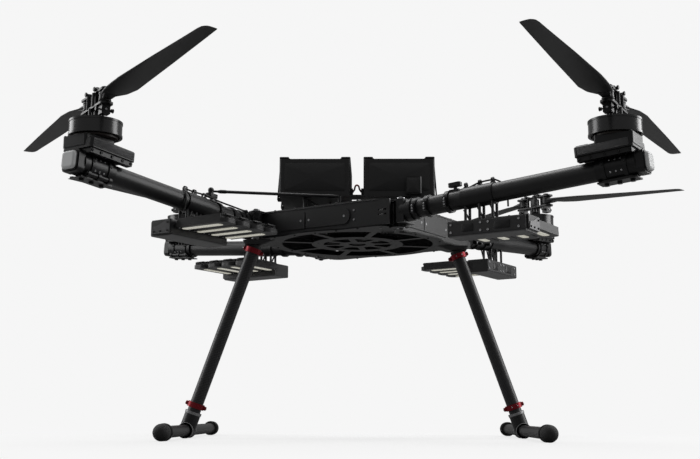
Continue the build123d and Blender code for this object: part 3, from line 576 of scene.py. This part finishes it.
def tube_material(k):
    """Carbon for arm k's tube."""
    start = point_on_arm(k, *ARM_ROOT)
    rise = 100 * math.tan(math.radians(ARM_RISE))
    end = point_on_arm(k, ARM_ROOT[0] + 100, ARM_ROOT[1], ARM_ROOT[2] + rise)
    return carbon(f"carbon tube {ARMS[k]}", tube_directions(start, end, TUBE_R))


def dress_cad():
    """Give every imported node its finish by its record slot; some have one of their own."""
    slots = {part["node"]: part["material_slot"] for part in frame["record"]["subparts"]}
    special = {f"arm_tube_{name}": tube_material(k) for k, name in enumerate(ARMS)}
    # Painted light: the driver's downward faces are painted mid-grey as if lit from below.
    driver = painted_lit_underside("light driver", (0.008, 0.008, 0.0085), (0.11, 0.11, 0.112))
    special.update({f"motor_bell_{name}": CAN for name in ARMS})
    leg_cloth = tube_directions((240, 44, 0), (385, 44, -430), 15.0)
    special["leg_tubes"] = carbon("carbon leg", leg_cloth, 0.012, 0.026)
    special["skid_tubes"] = carbon("carbon skid", tube_directions((385, 0, -432), (385, 100, -432), 12.5))
    special.update({f"light_driver_{name}": driver for name in ARMS})
    special["bottom_plate"] = carbon("carbon wheel", plate_directions, 0.003, 0.006, specular=0.1)
    # Painted light: the top plate's underside is painted pale, so that the openings of the bottom plate look lit.
    special["top_plate"] = painted_lit_underside("top plate", (0.007, 0.007, 0.0075), (0.5, 0.5, 0.505))
    for name, piece in NODES.items():
        material = special.get(name) or MATERIALS[slots[name]]
        piece.data.materials.clear()
        piece.data.materials.append(material)


# ---------------------------------------------------------------- small shared parts
def facing(part, place, direction):
    """The part with its z axis turned to a direction, moved to a place."""
    turn = np.array(Vector(direction).to_track_quat("Z", "Y").to_matrix())
    return part[0] @ turn.T + np.asarray(place, float), part[1]


def screw(radius=2.6, height=2.4, sides=12):
    """Socket screw head: a lathed rim with a chamfer and a sunk round socket in its top."""
    return lathe(
        [
            (radius * 0.97, -0.6),
            (radius, 0.15 * height),
            (radius, 0.72 * height),
            (radius * 0.82, height),
            (radius * 0.52, height),
            (radius * 0.46, height * 0.94),
            (radius * 0.42, height * 0.35),
            (radius * 0.05, height * 0.3),
        ],
        sides,
    )


def knob(radius=3.6, height=5.0):
    """Turned knob: a waist, a rounded rim and a slightly domed end."""
    return lathe(
        [
            (radius * 0.55, 0.0),
            (radius * 0.6, height * 0.25),
            (radius * 0.95, height * 0.35),
            (radius, height * 0.55),
            (radius, height * 0.8),
            (radius * 0.86, height * 0.97),
            (radius * 0.3, height * 1.04),
        ],
        14,
    )


def gland(radius=4.0, height=7.0):
    """Cable gland: a flanged foot and a ribbed sleeve that narrows to the lead."""
    profile = [(radius * 1.5, -0.4), (radius * 1.5, 1.0), (radius * 1.05, 1.4)]
    for i in range(3):
        level = 1.6 + i * (height - 2.4) / 3
        profile += [(radius * 1.05, level), (radius * 0.9, level + 0.5), (radius * 1.05, level + 1.0)]
    return lathe(profile + [(radius * 0.8, height)], 14)


def panel_of(outline, thickness, lift=0.0):
    """Flat plate in the YZ plane from an outline that is seen whole from its middle."""
    outline = np.asarray(outline, float)
    rings = []
    for x, share in ((lift, 0.985), (lift + 0.3, 1.0), (lift + thickness - 0.3, 1.0), (lift + thickness, 0.985)):
        drawn = outline.mean(0) + (outline - outline.mean(0)) * share
        rings.append(np.column_stack([np.full(len(drawn), x), drawn]))
    return skin(rings)


# ---------------------------------------------------------------- rotor blades
# Share of the rotor radius, leading edge, trailing edge, thickness and pitch.
BLADE_STATIONS = np.array(
    [
        (0.108, 11.0, -11.0, 13.0, 2.0),
        (0.132, 16.0, -17.0, 9.6, 3.0),
        (0.180, 20.0, -27.0, 8.5, 4.0),
        (0.260, 22.0, -31.5, 7.5, 5.0),
        (0.340, 23.0, -29.5, 6.6, 5.0),
        (0.620, 20.0, -23.5, 4.4, 3.5),
        (0.900, 14.8, -16.4, 3.1, 2.2),
        (0.965, 13.8, -14.5, 2.8, 2.0),
        (0.990, 11.8, -13.9, 2.5, 2.0),
        (1.000, 7.0, -12.6, 1.6, 2.0),
    ]
)


def blade_skin():
    """Aerofoil carried along the blade, its chord, thickness T and pitch taken between the stations. At the
    share t of the chord, the half thickness is 5 T (0.297 sqrt t - 0.126 t - 0.352 t^2 + 0.284 t^3 - 0.101 t^4)
    and the camber is 0.1 T sin(pi t)."""
    stretches = (np.linspace(0.108, 0.4, 22), np.linspace(0.42, 0.95, 18), np.linspace(0.96, 1.0, 7))
    share = np.concatenate(stretches)
    known = BLADE_STATIONS.T
    lead, trail, thick, pitch = (np.interp(share, known[0], known[i]) for i in range(1, 5))
    t = (1 - np.cos(np.linspace(0, math.pi, 15))) / 2
    half = 5 * (0.297 * np.sqrt(t) - 0.126 * t - 0.352 * t**2 + 0.284 * t**3 - 0.101 * t**4)
    camber = 0.1 * np.sin(math.pi * t)
    over = np.stack([t, camber + half + 0.02], -1)
    under = np.stack([t, camber - 0.7 * half - 0.02], -1)
    section = np.vstack([over, under[-2:0:-1]])
    rings = []
    for s, front, back, depth, turn in zip(share, lead, trail, thick, np.radians(pitch)):
        y = front - section[:, 0] * (front - back)
        z = section[:, 1] * depth
        c, d = math.cos(turn), math.sin(turn)
        rings.append(np.column_stack([np.full(len(y), s * ROTOR_R), y * c - z * d, y * d + z * c]))
    return skin(rings)


def blade_grip():
    """Root fitting: a flanged barrel round the pivot and a waisted neck that runs into the blade."""
    lower = [(4.1, -8.8), (11.4, -8.8), (12.0, -8.2), (12.0, -5.4), (11.2, -4.8)]
    upper = [(radius, -z) for radius, z in reversed(lower)]
    barrel = ring_of(lower + upper, 36)
    rings = []
    neck = ((8.5, 17, 13.5), (11, 18, 13.6), (14, 19.5, 13), (18, 22, 11), (24, 25, 8.5), (30, 27, 6))
    for x, width, height in neck:
        outline = rounded_outline(width, height, 3.2)
        rings.append(np.column_stack([np.full(len(outline), x), outline]))
    return joined([moved(barrel, x=PIVOT), moved(skin(rings), x=PIVOT)])


def add_blades():
    """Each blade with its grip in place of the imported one, and the two screws of its root."""
    shape = joined([blade_skin(), blade_grip()])
    root_screws = [moved(screw(1.9, 1.8), PIVOT + 17, y, 5.4) for y in (-5.5, 5.5)]
    for k, name in enumerate(ARMS):
        for number in (1, 2):
            pieces = []
            for part in (shape, joined(root_screws)):
                points, faces = part
                points = points - [PIVOT, 0, 0]
                points = moved((points, faces), turn=(0, BLADE_DROOPS[k], 0))[0]
                if TURNS_CLOCKWISE[k]:
                    points = points * [1, -1, 1]
                lag = BLADE_LAGS[k] if number == 2 else 0.0
                points = moved((points, faces), turn=(0, 0, lag))[0] + [PIVOT, 0, ROTOR_Z]
                turned = moved((points, faces), turn=(0, 0, BLADE_BEARINGS[k] + 180 * (number - 1)))
                pieces.append(moved(turned, *motor_place(k)))
            body = f"blade_{number}_{name}"
            foil = add_plain(f"foil_{number}_{name}", pieces[:1], "blade", body, 50.0)
            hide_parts(f"blade_{number}_{name}")
            add_plain(f"foil_screws_{number}_{name}", pieces[1:], "steel", body)


def motor_place(k):
    """Point of arm k's motor axis at the level of the origin."""
    angle = math.radians(-45 + 90 * k)
    return MOTOR_REACH * math.cos(angle), MOTOR_REACH * math.sin(angle), 0.0


# ---------------------------------------------------------------- rotor hub and motor
def on_rotor(k, part):
    """A part drawn about the rotor's shaft with its blades along X, put on arm k's motor."""
    return moved(moved(part, turn=(0, 0, BLADE_BEARINGS[k])), *motor_place(k))


def washer(inner, outer, height):
    """Flat ring from z 0 with its outer edges broken."""
    profile = [(inner, 0), (outer - 0.3, 0), (outer, 0.3)]
    profile += [(outer, height - 0.3), (outer - 0.3, height), (inner, height)]
    return ring_of(profile, 36)


def add_hub_fittings():
    """Washers at the blade roots, cross pins with knobs on the upper plates, the top screw and cap screws."""
    top = ROTOR_Z + 16.0
    dark, bright = [], []
    for side in (-1, 1):
        x = side * PIVOT
        dark.append(moved(washer(4.6, 13.0, 1.4), x, 0, ROTOR_Z + 9.9))
        dark.append(moved(washer(4.6, 13.0, 1.4), x, 0, ROTOR_Z - 11.6))
        pin_line = [(side * PIN_X, y, top + 2.6) for y in (-12, -6, 0, 6, 12)]
        dark.append(carried(pin_line, round_section(2.6, 12)))
        for end in (-1, 1):
            dark.append(facing(knob(4.5, 5.4), (side * PIN_X, end * 11.0, top + 2.6), (0, end, 0)))
            dark.append(facing(slab(5.0, 6.5, 4.6, 1.4, 0.5), (side * PIN_X, end * 6.5, top - 0.2), (0, 0, 1)))
            dark.append(facing(knob(4.4, 3.6), (side * PIVOT, end * 14.6, CROSS_BOLT_Z), (0, end, 0)))
            bright.append(moved(screw(1.9, 1.8), side * 54.5, end * 6.5, top))
            bright.append(moved(screw(1.6, 1.5), side * 33.0, end * 9.0, top))
        bright.append(facing(screw(2.2, 1.8), (side * (PIVOT + 8.5), 0, CROSS_BOLT_Z), (side, 0, 0)))
    dark.append(moved(knob(4.2, 9.0), 0, 0, top + 5.0))
    dark.append(moved(slab(19.0, 21.0, 21.0, 4.0, 1.2), 0, 0, ROTOR_Z - 10.5))
    collar = [(12.5, 0), (12.5, 2.0), (10.2, 3.2), (10.2, 12.0), (8.6, 13.4), (5.1, 13.4)]
    dark.append(moved(lathe(collar, 24), 0, 0, 159.6))
    for spot in range(6):
        angle = math.radians(30 + 60 * spot)
        bright.append(moved(screw(2.3, 1.8), 36 * math.cos(angle), 36 * math.sin(angle), 160.0))
    for k, name in enumerate(ARMS):
        body = f"rotor_{name}"
        add_plain(f"hub_fittings_{name}", [on_rotor(k, p) for p in dark], "black_alloy", body)
        add_plain(f"hub_screws_{name}", [on_rotor(k, p) for p in bright], "steel", body)


# ---------------------------------------------------------------- light panels
def add_light_strips():
    """Four rounded light strips let into the undersides of each arm's lamp bodies."""
    for k, name in enumerate(ARMS):
        strips, flat = [], []
        for i in range(4):
            x = MODULE_X + MODULE_PITCH * i
            strip = moved(slab(16.0, 102.0, 2.4, 6.0, 0.7), x, STRIP_MID_Y, MODULE_FACE_Z - 1.0)
            strips.append(on_arm(k, strip))
            flat.append(strip[0][:, :2])
        piece = add_piece(f"light_strips_{name}", strips, LIGHT_STRIP, f"arm_{name}")
        lay_flat(piece, np.vstack(flat) * MM)


def lay_flat(piece, flat):
    """UV map from a pair of lengths for each vertex."""
    corner_vertex = np.empty(len(piece.data.loops), dtype=np.int32)
    piece.data.loops.foreach_get("vertex_index", corner_vertex)
    layer = piece.data.uv_layers.new(name="lengths")
    layer.data.foreach_set("uv", flat[corner_vertex].astype(np.float32).ravel())


def add_panel_fittings():
    """Driver end plate with its curved top edge, the driver's screws and window, and the lamp bodies' ties."""
    y0, y1 = DRIVER_Y
    rise = np.linspace(0, 1, 9)
    top = [(y1 - 1.5 - (y1 - y0 - 12) * s, -6.0 - 13.0 * (3 * s**2 - 2 * s**3)) for s in rise]
    outline = [(y0 + 7.0, -34.0), (y1 - 1.5, -34.0)] + top
    plate = panel_of(outline, 1.8, DRIVER_X[1] + 3.8)
    for k, name in enumerate(ARMS):
        body = f"arm_{name}"
        bright, dark = [], []
        for y, z in ((y0 + 14, -29.0), (y0 + 30, -29.0), (y1 - 8, -29.0), (y1 - 8, -12.0)):
            dark.append(facing(screw(2.4, 1.6), (DRIVER_X[1] + 5.6, y, z), (1, 0, 0)))
        for x in (7, 74, 91, 158):
            for z in (-13.0, -29.0):
                bright.append(facing(screw(2.5, 1.4), (DRIVER_X[0] + x, y0, z), (0, -1, 0)))
        for x, width in ((45, 26.0), (122, 34.0)):
            window = slab(width, 17.0, 1.1, 2.0, 0.4)
            dark.append(facing(window, (DRIVER_X[0] + x, y0 + 0.3, -21.0), (0, -1, 0)))
        for i in range(4):
            x = MODULE_X + MODULE_PITCH * i
            for side in (-1, 1):
                place = (x + 15 * side, MODULE_Y[0] + 5, MODULE_FACE_Z)
                bright.append(moved(screw(2.0, 1.4), *place, turn=(180, 0, 0)))
            dark.append(moved(slab(26.0, 5.0, 3.0, 1.5, 0.6), x, MODULE_Y[1] - 8, -8.0))
        add_piece(f"driver_plate_{name}", [on_arm(k, plate)], SATIN_ALLOY, body)
        add_plain(f"panel_dark_{name}", [on_arm(k, p) for p in dark], "black_alloy", body)
        add_plain(f"panel_screws_{name}", [on_arm(k, p) for p in bright], "steel", body)


# ---------------------------------------------------------------- arms
def on_ring(t, radius, angle):
    """Point and outward direction on a ring about the tube's axis; the angle counts from the top."""
    turn = math.radians(angle)
    return (t, radius * math.sin(turn), radius * math.cos(turn)), (0, math.sin(turn), math.cos(turn))


def add_arm_fittings():
    """Screws of the bands, the clamp, the pod, its tab and the motor's seat, and the lamp's bezel."""
    for k, name in enumerate(ARMS):
        body = f"arm_{name}"
        bright, dark, on_arms = [], [], []
        for t in BANDS:
            for z in (-9.5, -4.0, 1.5):
                bright.append(facing(screw(2.1, 1.6, 10), (t, -28.2, z), (0, -1, 0)))
        for t in (CLAMP_START + 30, CLAMP_START + 41, CLAMP_START + 52):
            for angle in (62, -62, 118, -118):
                bright.append(facing(screw(2.0, 1.4, 10), *on_ring(t, 24.4, angle)))
        for t in (CLAMP_START + 16, TUBE_END - 20):
            for angle in (80, -80):
                dark.append(facing(screw(2.6, 1.8), *on_ring(t, 26.8, angle)))
        for t in (-50, -28, 0, 28, 50):
            for side in (-1, 1):
                place = (POD_STATION + t, side * 36.0, 21.7)
                dark.append(facing(screw(3.0, 2.2), place, (0, side, 0)))
        tab_t = POD_STATION - 57.5 - 3 + 7
        for side in (-1, 1):
            bright.append(moved(screw(2.6, 2.0), tab_t, side * 8.0, 54.6))
        for t in (-44, 44):
            for side in (-1, 1):
                dark.append(moved(screw(2.2, 1.4), POD_STATION + t, side * 33.0, 46.6))
        bezel = rounded_outline(40.0, 40.0, 10.0)
        inner = rounded_outline(35.4, 35.4, 8.3)
        rings = [(0.0, bezel), (1.6, bezel), (2.4, bezel * 0.97), (2.4, inner), (0.0, inner)]
        loops = [np.column_stack([np.full(len(o), TUBE_END + 16 + x), o]) for x, o in rings]
        points = np.stack(loops).reshape(-1, 3)
        dark.append((points, grid_faces(len(loops), len(bezel), True).tolist()))
        for x, y in ((42, -36), (42, 20), (-26, -36)):
            on_arms.append(moved(screw(2.6, 2.0), MOTOR_X + x, MOTOR_Y + y, MOTOR_SEAT_Z))
        dark_parts = [on_tube(k, p) for p in dark] + [on_arm(k, p) for p in on_arms]
        add_plain(f"arm_dark_{name}", dark_parts, "black_alloy", body)
        add_plain(f"arm_screws_{name}", [on_tube(k, p) for p in bright], "steel", body)


def add_pod_covers():
    """Textured cover plates on the pod's long sides and its root end."""
    for k, name in enumerate(ARMS):
        covers, flat = [], []
        for side in (-1, 1):
            cover = slab(101.0, 15.0, 1.0, 2.0, 0.4)
            covers.append(facing(cover, (POD_STATION, side * 39.8, POD_COVER_Z), (0, side, 0)))
            flat.append(cover[0][:, :2])
        cover = slab(64.0, 15.0, 1.0, 2.0, 0.4)
        covers.append(facing(cover, (POD_STATION - 57.2, 0, POD_COVER_Z), (-1, 0, 0)))
        flat.append(cover[0][:, :2])
        covers = [on_tube(k, p) for p in covers]
        piece = add_piece(f"pod_covers_{name}", covers, KNURLED, f"arm_{name}")
        lay_flat(piece, np.vstack(flat) * MM)


def add_arm_leads():
    """Lead along each arm, through two clips and down to a gland on the light driver; both ends are held."""
    points = [(40, 17.5, 21), (60, 17.4, 20.9), (100, 17.4, 20.9), (140, 17.8, 20.8), (176, 11.2, 25.8)]
    points += [(204, 0, 28.0), (233, 0, 28.0), (241, 6, 25.6), (247, 14, 20.2)]
    points += [(251, 20.5, 10), (252, 22.8, -4), (252, 20.5, -28)]
    lead = carried(curve_through(points, 7), round_section(1.9, 12))
    for k, name in enumerate(ARMS):
        base = (ARM_ROOT[0] + 252 + 3, MOTOR_Y + 20.5, PANEL_TOP)
        low = on_arm(k, moved(gland(2.8, 8.0), *base))
        high = on_tube(k, facing(gland(2.8, 7.0), (45.6, 17.5, 20.9), (1, 0, 0)))
        add_plain(f"arm_lead_{name}", [on_tube(k, lead), low, high], "rubber", f"arm_{name}", 40.0)


# ---------------------------------------------------------------- airframe
def four_sides(part):
    """A part drawn for arm 0, repeated on all four sides."""
    return [on_arm(k, part) for k in range(4)]


def add_frame_screws():
    """Screws in both centre plates, the side pads, the hinge pins and the leg shoes."""
    bright, dark = [], []
    for x in (-160, -104, -48, 8, 64, 120):
        dark += four_sides(moved(screw(2.4, 2.0), x, EDGE_SCREW_Y, PLATE_HIGH))
        dark += four_sides(moved(screw(2.4, 1.6), x, EDGE_SCREW_Y, PLATE_LOW, turn=(180, 0, 0)))
    for x in (-119, -29, -7, 87):
        bright += four_sides(facing(screw(2.6, 1.5), (x, PAD_FACE_Y, 30.5), (0, -1, 0)))
    for z in (20.0, 41.0):
        bright += four_sides(facing(screw(2.2, 1.6), (112, -188.0, z), (0, -1, 0)))
    for z, turn in ((65.0, 0), (-2.0, 180)):
        dark += four_sides(moved(screw(5.2, 2.4, 16), *HINGE, z, turn=(turn, 0, 0)))
    for z, turn in ((PLATE_HIGH, 0), (PLATE_LOW, 180)):
        for x, y in ((168, -168), (176, -122)):
            bright += four_sides(moved(screw(2.2, 1.6), x, y, z, turn=(turn, 0, 0)))
    for side in (-1, 1):
        for dx in (-24, 22):
            for dy in (-22, 22):
                place = (side * (LEG_TOP[0] - 12 + dx - 14), side * LEG_TOP[1] + dy, 3.0)
                if math.hypot(place[0], place[1]) < 199:
                    bright.append(moved(screw(2.8, 2.2), *place))
    add_plain("frame_screws", bright, "steel", "airframe")
    add_plain("frame_dark_screws", dark, "black_alloy", "airframe")


def add_battery_details():
    """Cover panels, ribs, latches and sockets on both packs, the red leads looped between them, the leads up
    from the controller, and the small module's cover with its bright edge."""
    shell, dark, bright, red = [], [], [], []
    for side in (-1, 1):
        x = side * BATTERY_X
        for end in (-1, 1):
            y = end * BATTERY_BACK
            shell.append(facing(slab(140.0, 66.0, 0.9, 5.0, 0.6), (x, y - end * 0.2, 142.0), (0, end, 0)))
        for dx in (-74, 74):
            for z in (106.0, 178.0):
                bright.append(facing(screw(2.2, 1.4), (x + dx, BATTERY_BACK, z), (0, 1, 0)))
        for level in (122.0, 132.0, 142.0):
            shell.append(facing(slab(112.0, 3.0, 1.2, 1.2, 0.4), (x, BATTERY_BACK + 0.6, level), (0, 1, 0)))
        shell.append(facing(slab(46.0, 12.0, 3.2, 3.0, 1.0), (x, BATTERY_BACK + 0.6, 162.0), (0, 1, 0)))
        for offset in range(7):
            shell.append(moved(slab(14.0, 5.0, 1.2, 1.5, 0.5), x - 71, -60 + 20 * offset, 189.5))
            shell.append(moved(slab(14.0, 5.0, 1.2, 1.5, 0.5), x + 71, -60 + 20 * offset, 189.5))
        for dx in (-71, 71):
            shell.append(moved(slab(22.0, 198.0, 4.2, 3.0, 1.6), x + dx, 0, 185.6))
        shell.append(moved(slab(96.0, 150.0, 1.2, 8.0, 0.6), x, 0, 184.3))
        for y in (-SOCKET_Y, SOCKET_Y):
            dark.append(facing(slab(20.0, 14.0, 6.0, 2.0, 0.8), (side * 15.4, y, 112.0), (-side, 0, 0)))
        for z in (112.0, 124.0, 136.0, 148.0, 160.0, 172.0):
            shell.append(facing(slab(150.0, 3.0, 1.2, 1.2, 0.4), (side * 178.8, 0, z), (side, 0, 0)))
    for y in (-SOCKET_Y, SOCKET_Y):
        out = math.copysign(1, y)
        for step in (0.0, 6.0):
            points = [(10.0, y + step, 113), (6, y + 8 * out, 116), (4, y + 20 * out, 121)]
            points += [(0, y + 24 * out, 123)] + [(-x, b, z) for x, b, z in reversed(points)]
            red.append(carried(curve_through(points, 7), round_section(2.0, 12)))
    roots = ((-22, 18, 1), (22, -18, -1), (-30, -10, 1), (32, 12, -1), (0, 30, 1))
    for number, (x, y, turn) in enumerate(roots):
        points = [(x, y, 47), (x * 1.2, y * 1.3, 62), (x * 1.6 + 6 * turn, y * 1.9, 76)]
        points += [(x * 1.9, y * 2.2, 86), (x * 2.2, y * 2.4, 97.5)]
        (red if number in (0, 3) else dark).append(carried(curve_through(points, 6), round_section(2.1, 10)))
    shell.append(facing(slab(28.0, 34.0, 1.4, 1.5, 0.4), (128.0, -111.6, 120.0), (0, -1, 0)))
    edge = facing(slab(3.6, 39.0, 1.2, 0.8, 0.4), (146.0, -111.8, 120.0), (0, -1, 0))
    add_plain("battery_ribs", shell, "battery_shell", "airframe")
    add_plain("battery_dark", dark, "rubber", "airframe", 40.0)
    add_plain("battery_screws", bright, "steel", "airframe")
    add_piece("module_edge", [edge], PALE_ALLOY, "airframe")
    add_piece("red_leads", red, RED_LEAD, "airframe", 60.0)


def add_stay_sleeves():
    """Turned sleeve along each arm stay, thinner at both ends, a ball joint at its outer end and a foot."""
    sleeves = []
    start, end = np.array([128.0, 34.0, 90.08]), np.array([346.56, MOTOR_Y, 85.08])
    run = end - start
    length = np.linalg.norm(run)
    widths = ((0.03, 2.6), (0.05, 4.2), (0.09, 4.2), (0.1, 3.5))
    widths += ((0.88, 3.5), (0.89, 4.2), (0.93, 4.2), (0.95, 2.6))
    sleeve = lathe([(radius, share * length) for share, radius in widths], 20)
    ball = [(6.6 * math.cos(a), 6.6 * math.sin(a)) for a in np.linspace(-1.2, 1.35, 9)]
    foot = lathe([(8.6, 0), (8.6, 2.4), (6.0, 4.0), (5.4, 12.0), (4.2, 13.0)], 20)
    for k in (1, 3):
        sleeves.append(on_arm(k, facing(sleeve, start, run)))
        sleeves.append(on_arm(k, moved(lathe(ball, 24), *(end + [0, 0, 2.4]))))
        sleeves.append(on_arm(k, moved(foot, start[0], start[1], 63.8)))
    add_plain("stay_sleeves", sleeves, "black_alloy", "airframe")


def leg_frame(side, distance):
    """Point at a distance down one leg, and the leg's direction."""
    top = np.array([side * LEG_TOP[0], side * LEG_TOP[1], LEG_TOP[2]])
    foot = np.array([side * LEG_FOOT_X, side * LEG_TOP[1], SKID_Z])
    along = (foot - top) / np.linalg.norm(foot - top)
    return top + along * distance, along


def add_gear_details():
    """Screws of the red rings, bands at the tees and grooves in the feet."""
    bright, dark, grey, red = [], [], [], []
    for side in (-1, 1):
        for distance in (8.0, LEG_LENGTH - 64.6):
            point, along = leg_frame(side, distance + 6.0)
            out = np.cross(along, [0, side, 0])
            for turn in (-1, 1):
                place = point + turn * out * 6.2 - np.array([0, side * 21.5, 0])
                bright.append(facing(screw(2.2, 1.6), place, turn * out))
                red.append(facing(slab(9.0, 9.0, 5.6, 2.4, 1.0), point + turn * out * 18.6, turn * out))
                bright.append(facing(screw(2.0, 1.4), point + turn * out * 24.0, turn * out))
        point, along = leg_frame(side, LEG_LENGTH - 44.0)
        grey.append(facing(washer(15.1, 19.0, 6.0), point, along))
        for end in (-1, 1):
            x, y = side * LEG_FOOT_X, side * LEG_TOP[1] + end * 24.0
            grey.append(facing(washer(12.6, 17.9, 4.0), (x, y - 2, SKID_Z), (0, 1, 0)))
            place = (x + side * 16.6, side * LEG_TOP[1] + end * 14, SKID_Z)
            bright.append(facing(screw(2.2, 1.5), place, (side, 0, 0)))
            for step in (3.0, 8.0, 13.0):
                y = end * (SKID_END_Y - 17.5 - step)
                dark.append(facing(washer(12.6, 18.1, 2.0), (x, y - 1, SKID_Z), (0, 1, 0)))
    add_plain("ring_ears", red, "red_alloy", "airframe")
    add_plain("gear_screws", bright, "steel", "airframe")
    add_plain("foot_grooves", dark, "rubber", "airframe")
    add_piece("tee_bands", grey, PALE_ALLOY, "airframe")


dress_cad()
add_blades()
add_hub_fittings()
add_light_strips()
add_panel_fittings()
add_arm_fittings()
add_pod_covers()
add_arm_leads()
add_frame_screws()
add_battery_details()
add_stay_sleeves()
add_gear_details()


# ---------------------------------------------------------------- stage
def studio():
    """Pale floor and backdrop, even light, and the camera."""
    scene = bpy.context.scene
    world = bpy.data.worlds.new("studio")
    scene.world = world
    world.use_nodes = True
    tree = world.node_tree
    background = tree.nodes["Background"]
    direction = tree.nodes.new("ShaderNodeTexCoord").outputs["Generated"]
    axes = node(tree, "ShaderNodeSeparateXYZ", ((0, direction),)).outputs
    span = (("From Min", -0.5), ("From Max", 0.8), ("To Min", 0.05), ("To Max", 0.42))
    behind = node(tree, "ShaderNodeMapRange", (("Value", axes[2]), *span)).outputs[0]
    rays = tree.nodes.new("ShaderNodeLightPath").outputs
    strength = mix_values(tree, rays["Is Camera Ray"], behind, BACKDROP)
    tree.links.new(strength, background.inputs["Strength"])
    background.inputs["Color"].default_value = (1, 1, 1, 1)

    floor_mesh = bpy.data.meshes.new("floor")
    reach = 9.0
    corners = [(-reach, -reach), (reach, -reach), (reach, reach), (-reach, reach)]
    floor_mesh.from_pydata([(x, y, FLOOR_Z * MM) for x, y in corners], [], [(0, 1, 2, 3)])
    floor = bpy.data.objects.new("floor", floor_mesh)
    scene.collection.objects.link(floor)
    material, tree, shader, place = new_material("floor", roughness=0.9, specular=0.1)
    rays = tree.nodes.new("ShaderNodeLightPath").outputs
    seen = rays["Is Camera Ray"]
    paleness = mix_values(tree, seen, 0.22, 0.86)
    tint = node(tree, "ShaderNodeCombineColor", ((0, paleness), (1, paleness), (2, paleness)))
    tree.links.new(tint.outputs[0], shader.inputs["Base Color"])
    backdrop = (BACKDROP, BACKDROP, BACKDROP, 1)
    plain = node(tree, "ShaderNodeEmission", (("Color", backdrop),)).outputs[0]
    distance = node(tree, "ShaderNodeVectorMath", ((0, place),), operation="LENGTH").outputs["Value"]
    fade = (("From Min", 0.75), ("From Max", 1.15), ("To Min", 0.8))
    far = node(tree, "ShaderNodeMapRange", (("Value", distance), *fade)).outputs[0]
    hide = maths(tree, "MULTIPLY", far, seen)
    mixed = node(tree, "ShaderNodeMixShader", ((0, hide), (1, shader.outputs[0]), (2, plain))).outputs[0]
    tree.links.new(mixed, tree.nodes["Material Output"].inputs["Surface"])
    floor_mesh.materials.append(material)

    for name, place, target, size, power in (
        ("left softbox", (-2.2, 0.3, 0.9), (0, 0, 0.1), (1.2, 2.2), 26),
        ("right softbox", (2.2, 0.3, 0.9), (0, 0, 0.1), (1.2, 2.2), 34),
        ("top softbox", (0.0, 0.6, 2.6), (0, 0, 0), (2.4, 1.6), 52),
    ):
        lamp = bpy.data.lights.new(name, "AREA")
        lamp.shape = "RECTANGLE"
        lamp.size, lamp.size_y = size
        lamp.energy = power
        holder = bpy.data.objects.new(name, lamp)
        holder.location = place
        aim = Vector(target) - Vector(place)
        holder.rotation_euler = aim.to_track_quat("-Z", "Y").to_euler()
        scene.collection.objects.link(holder)

    lens = bpy.data.cameras.new("camera")
    lens.lens = 54.21
    lens.sensor_width = 36.0
    camera = bpy.data.objects.new("camera", lens)
    yaw, pitch, roll = 0.021, 0.173, 0.003
    camera.matrix_world = (
        Matrix.Translation((0.03407, -2.46517, 0.05553 + FLOOR_Z * MM))
        @ Matrix.Rotation(yaw, 4, "Z")
        @ Matrix.Rotation(math.pi / 2 + pitch, 4, "X")
        @ Matrix.Rotation(roll, 4, "Z")
    )
    scene.collection.objects.link(camera)
    scene.camera = camera
    scene.view_settings.view_transform = "Standard"


studio()
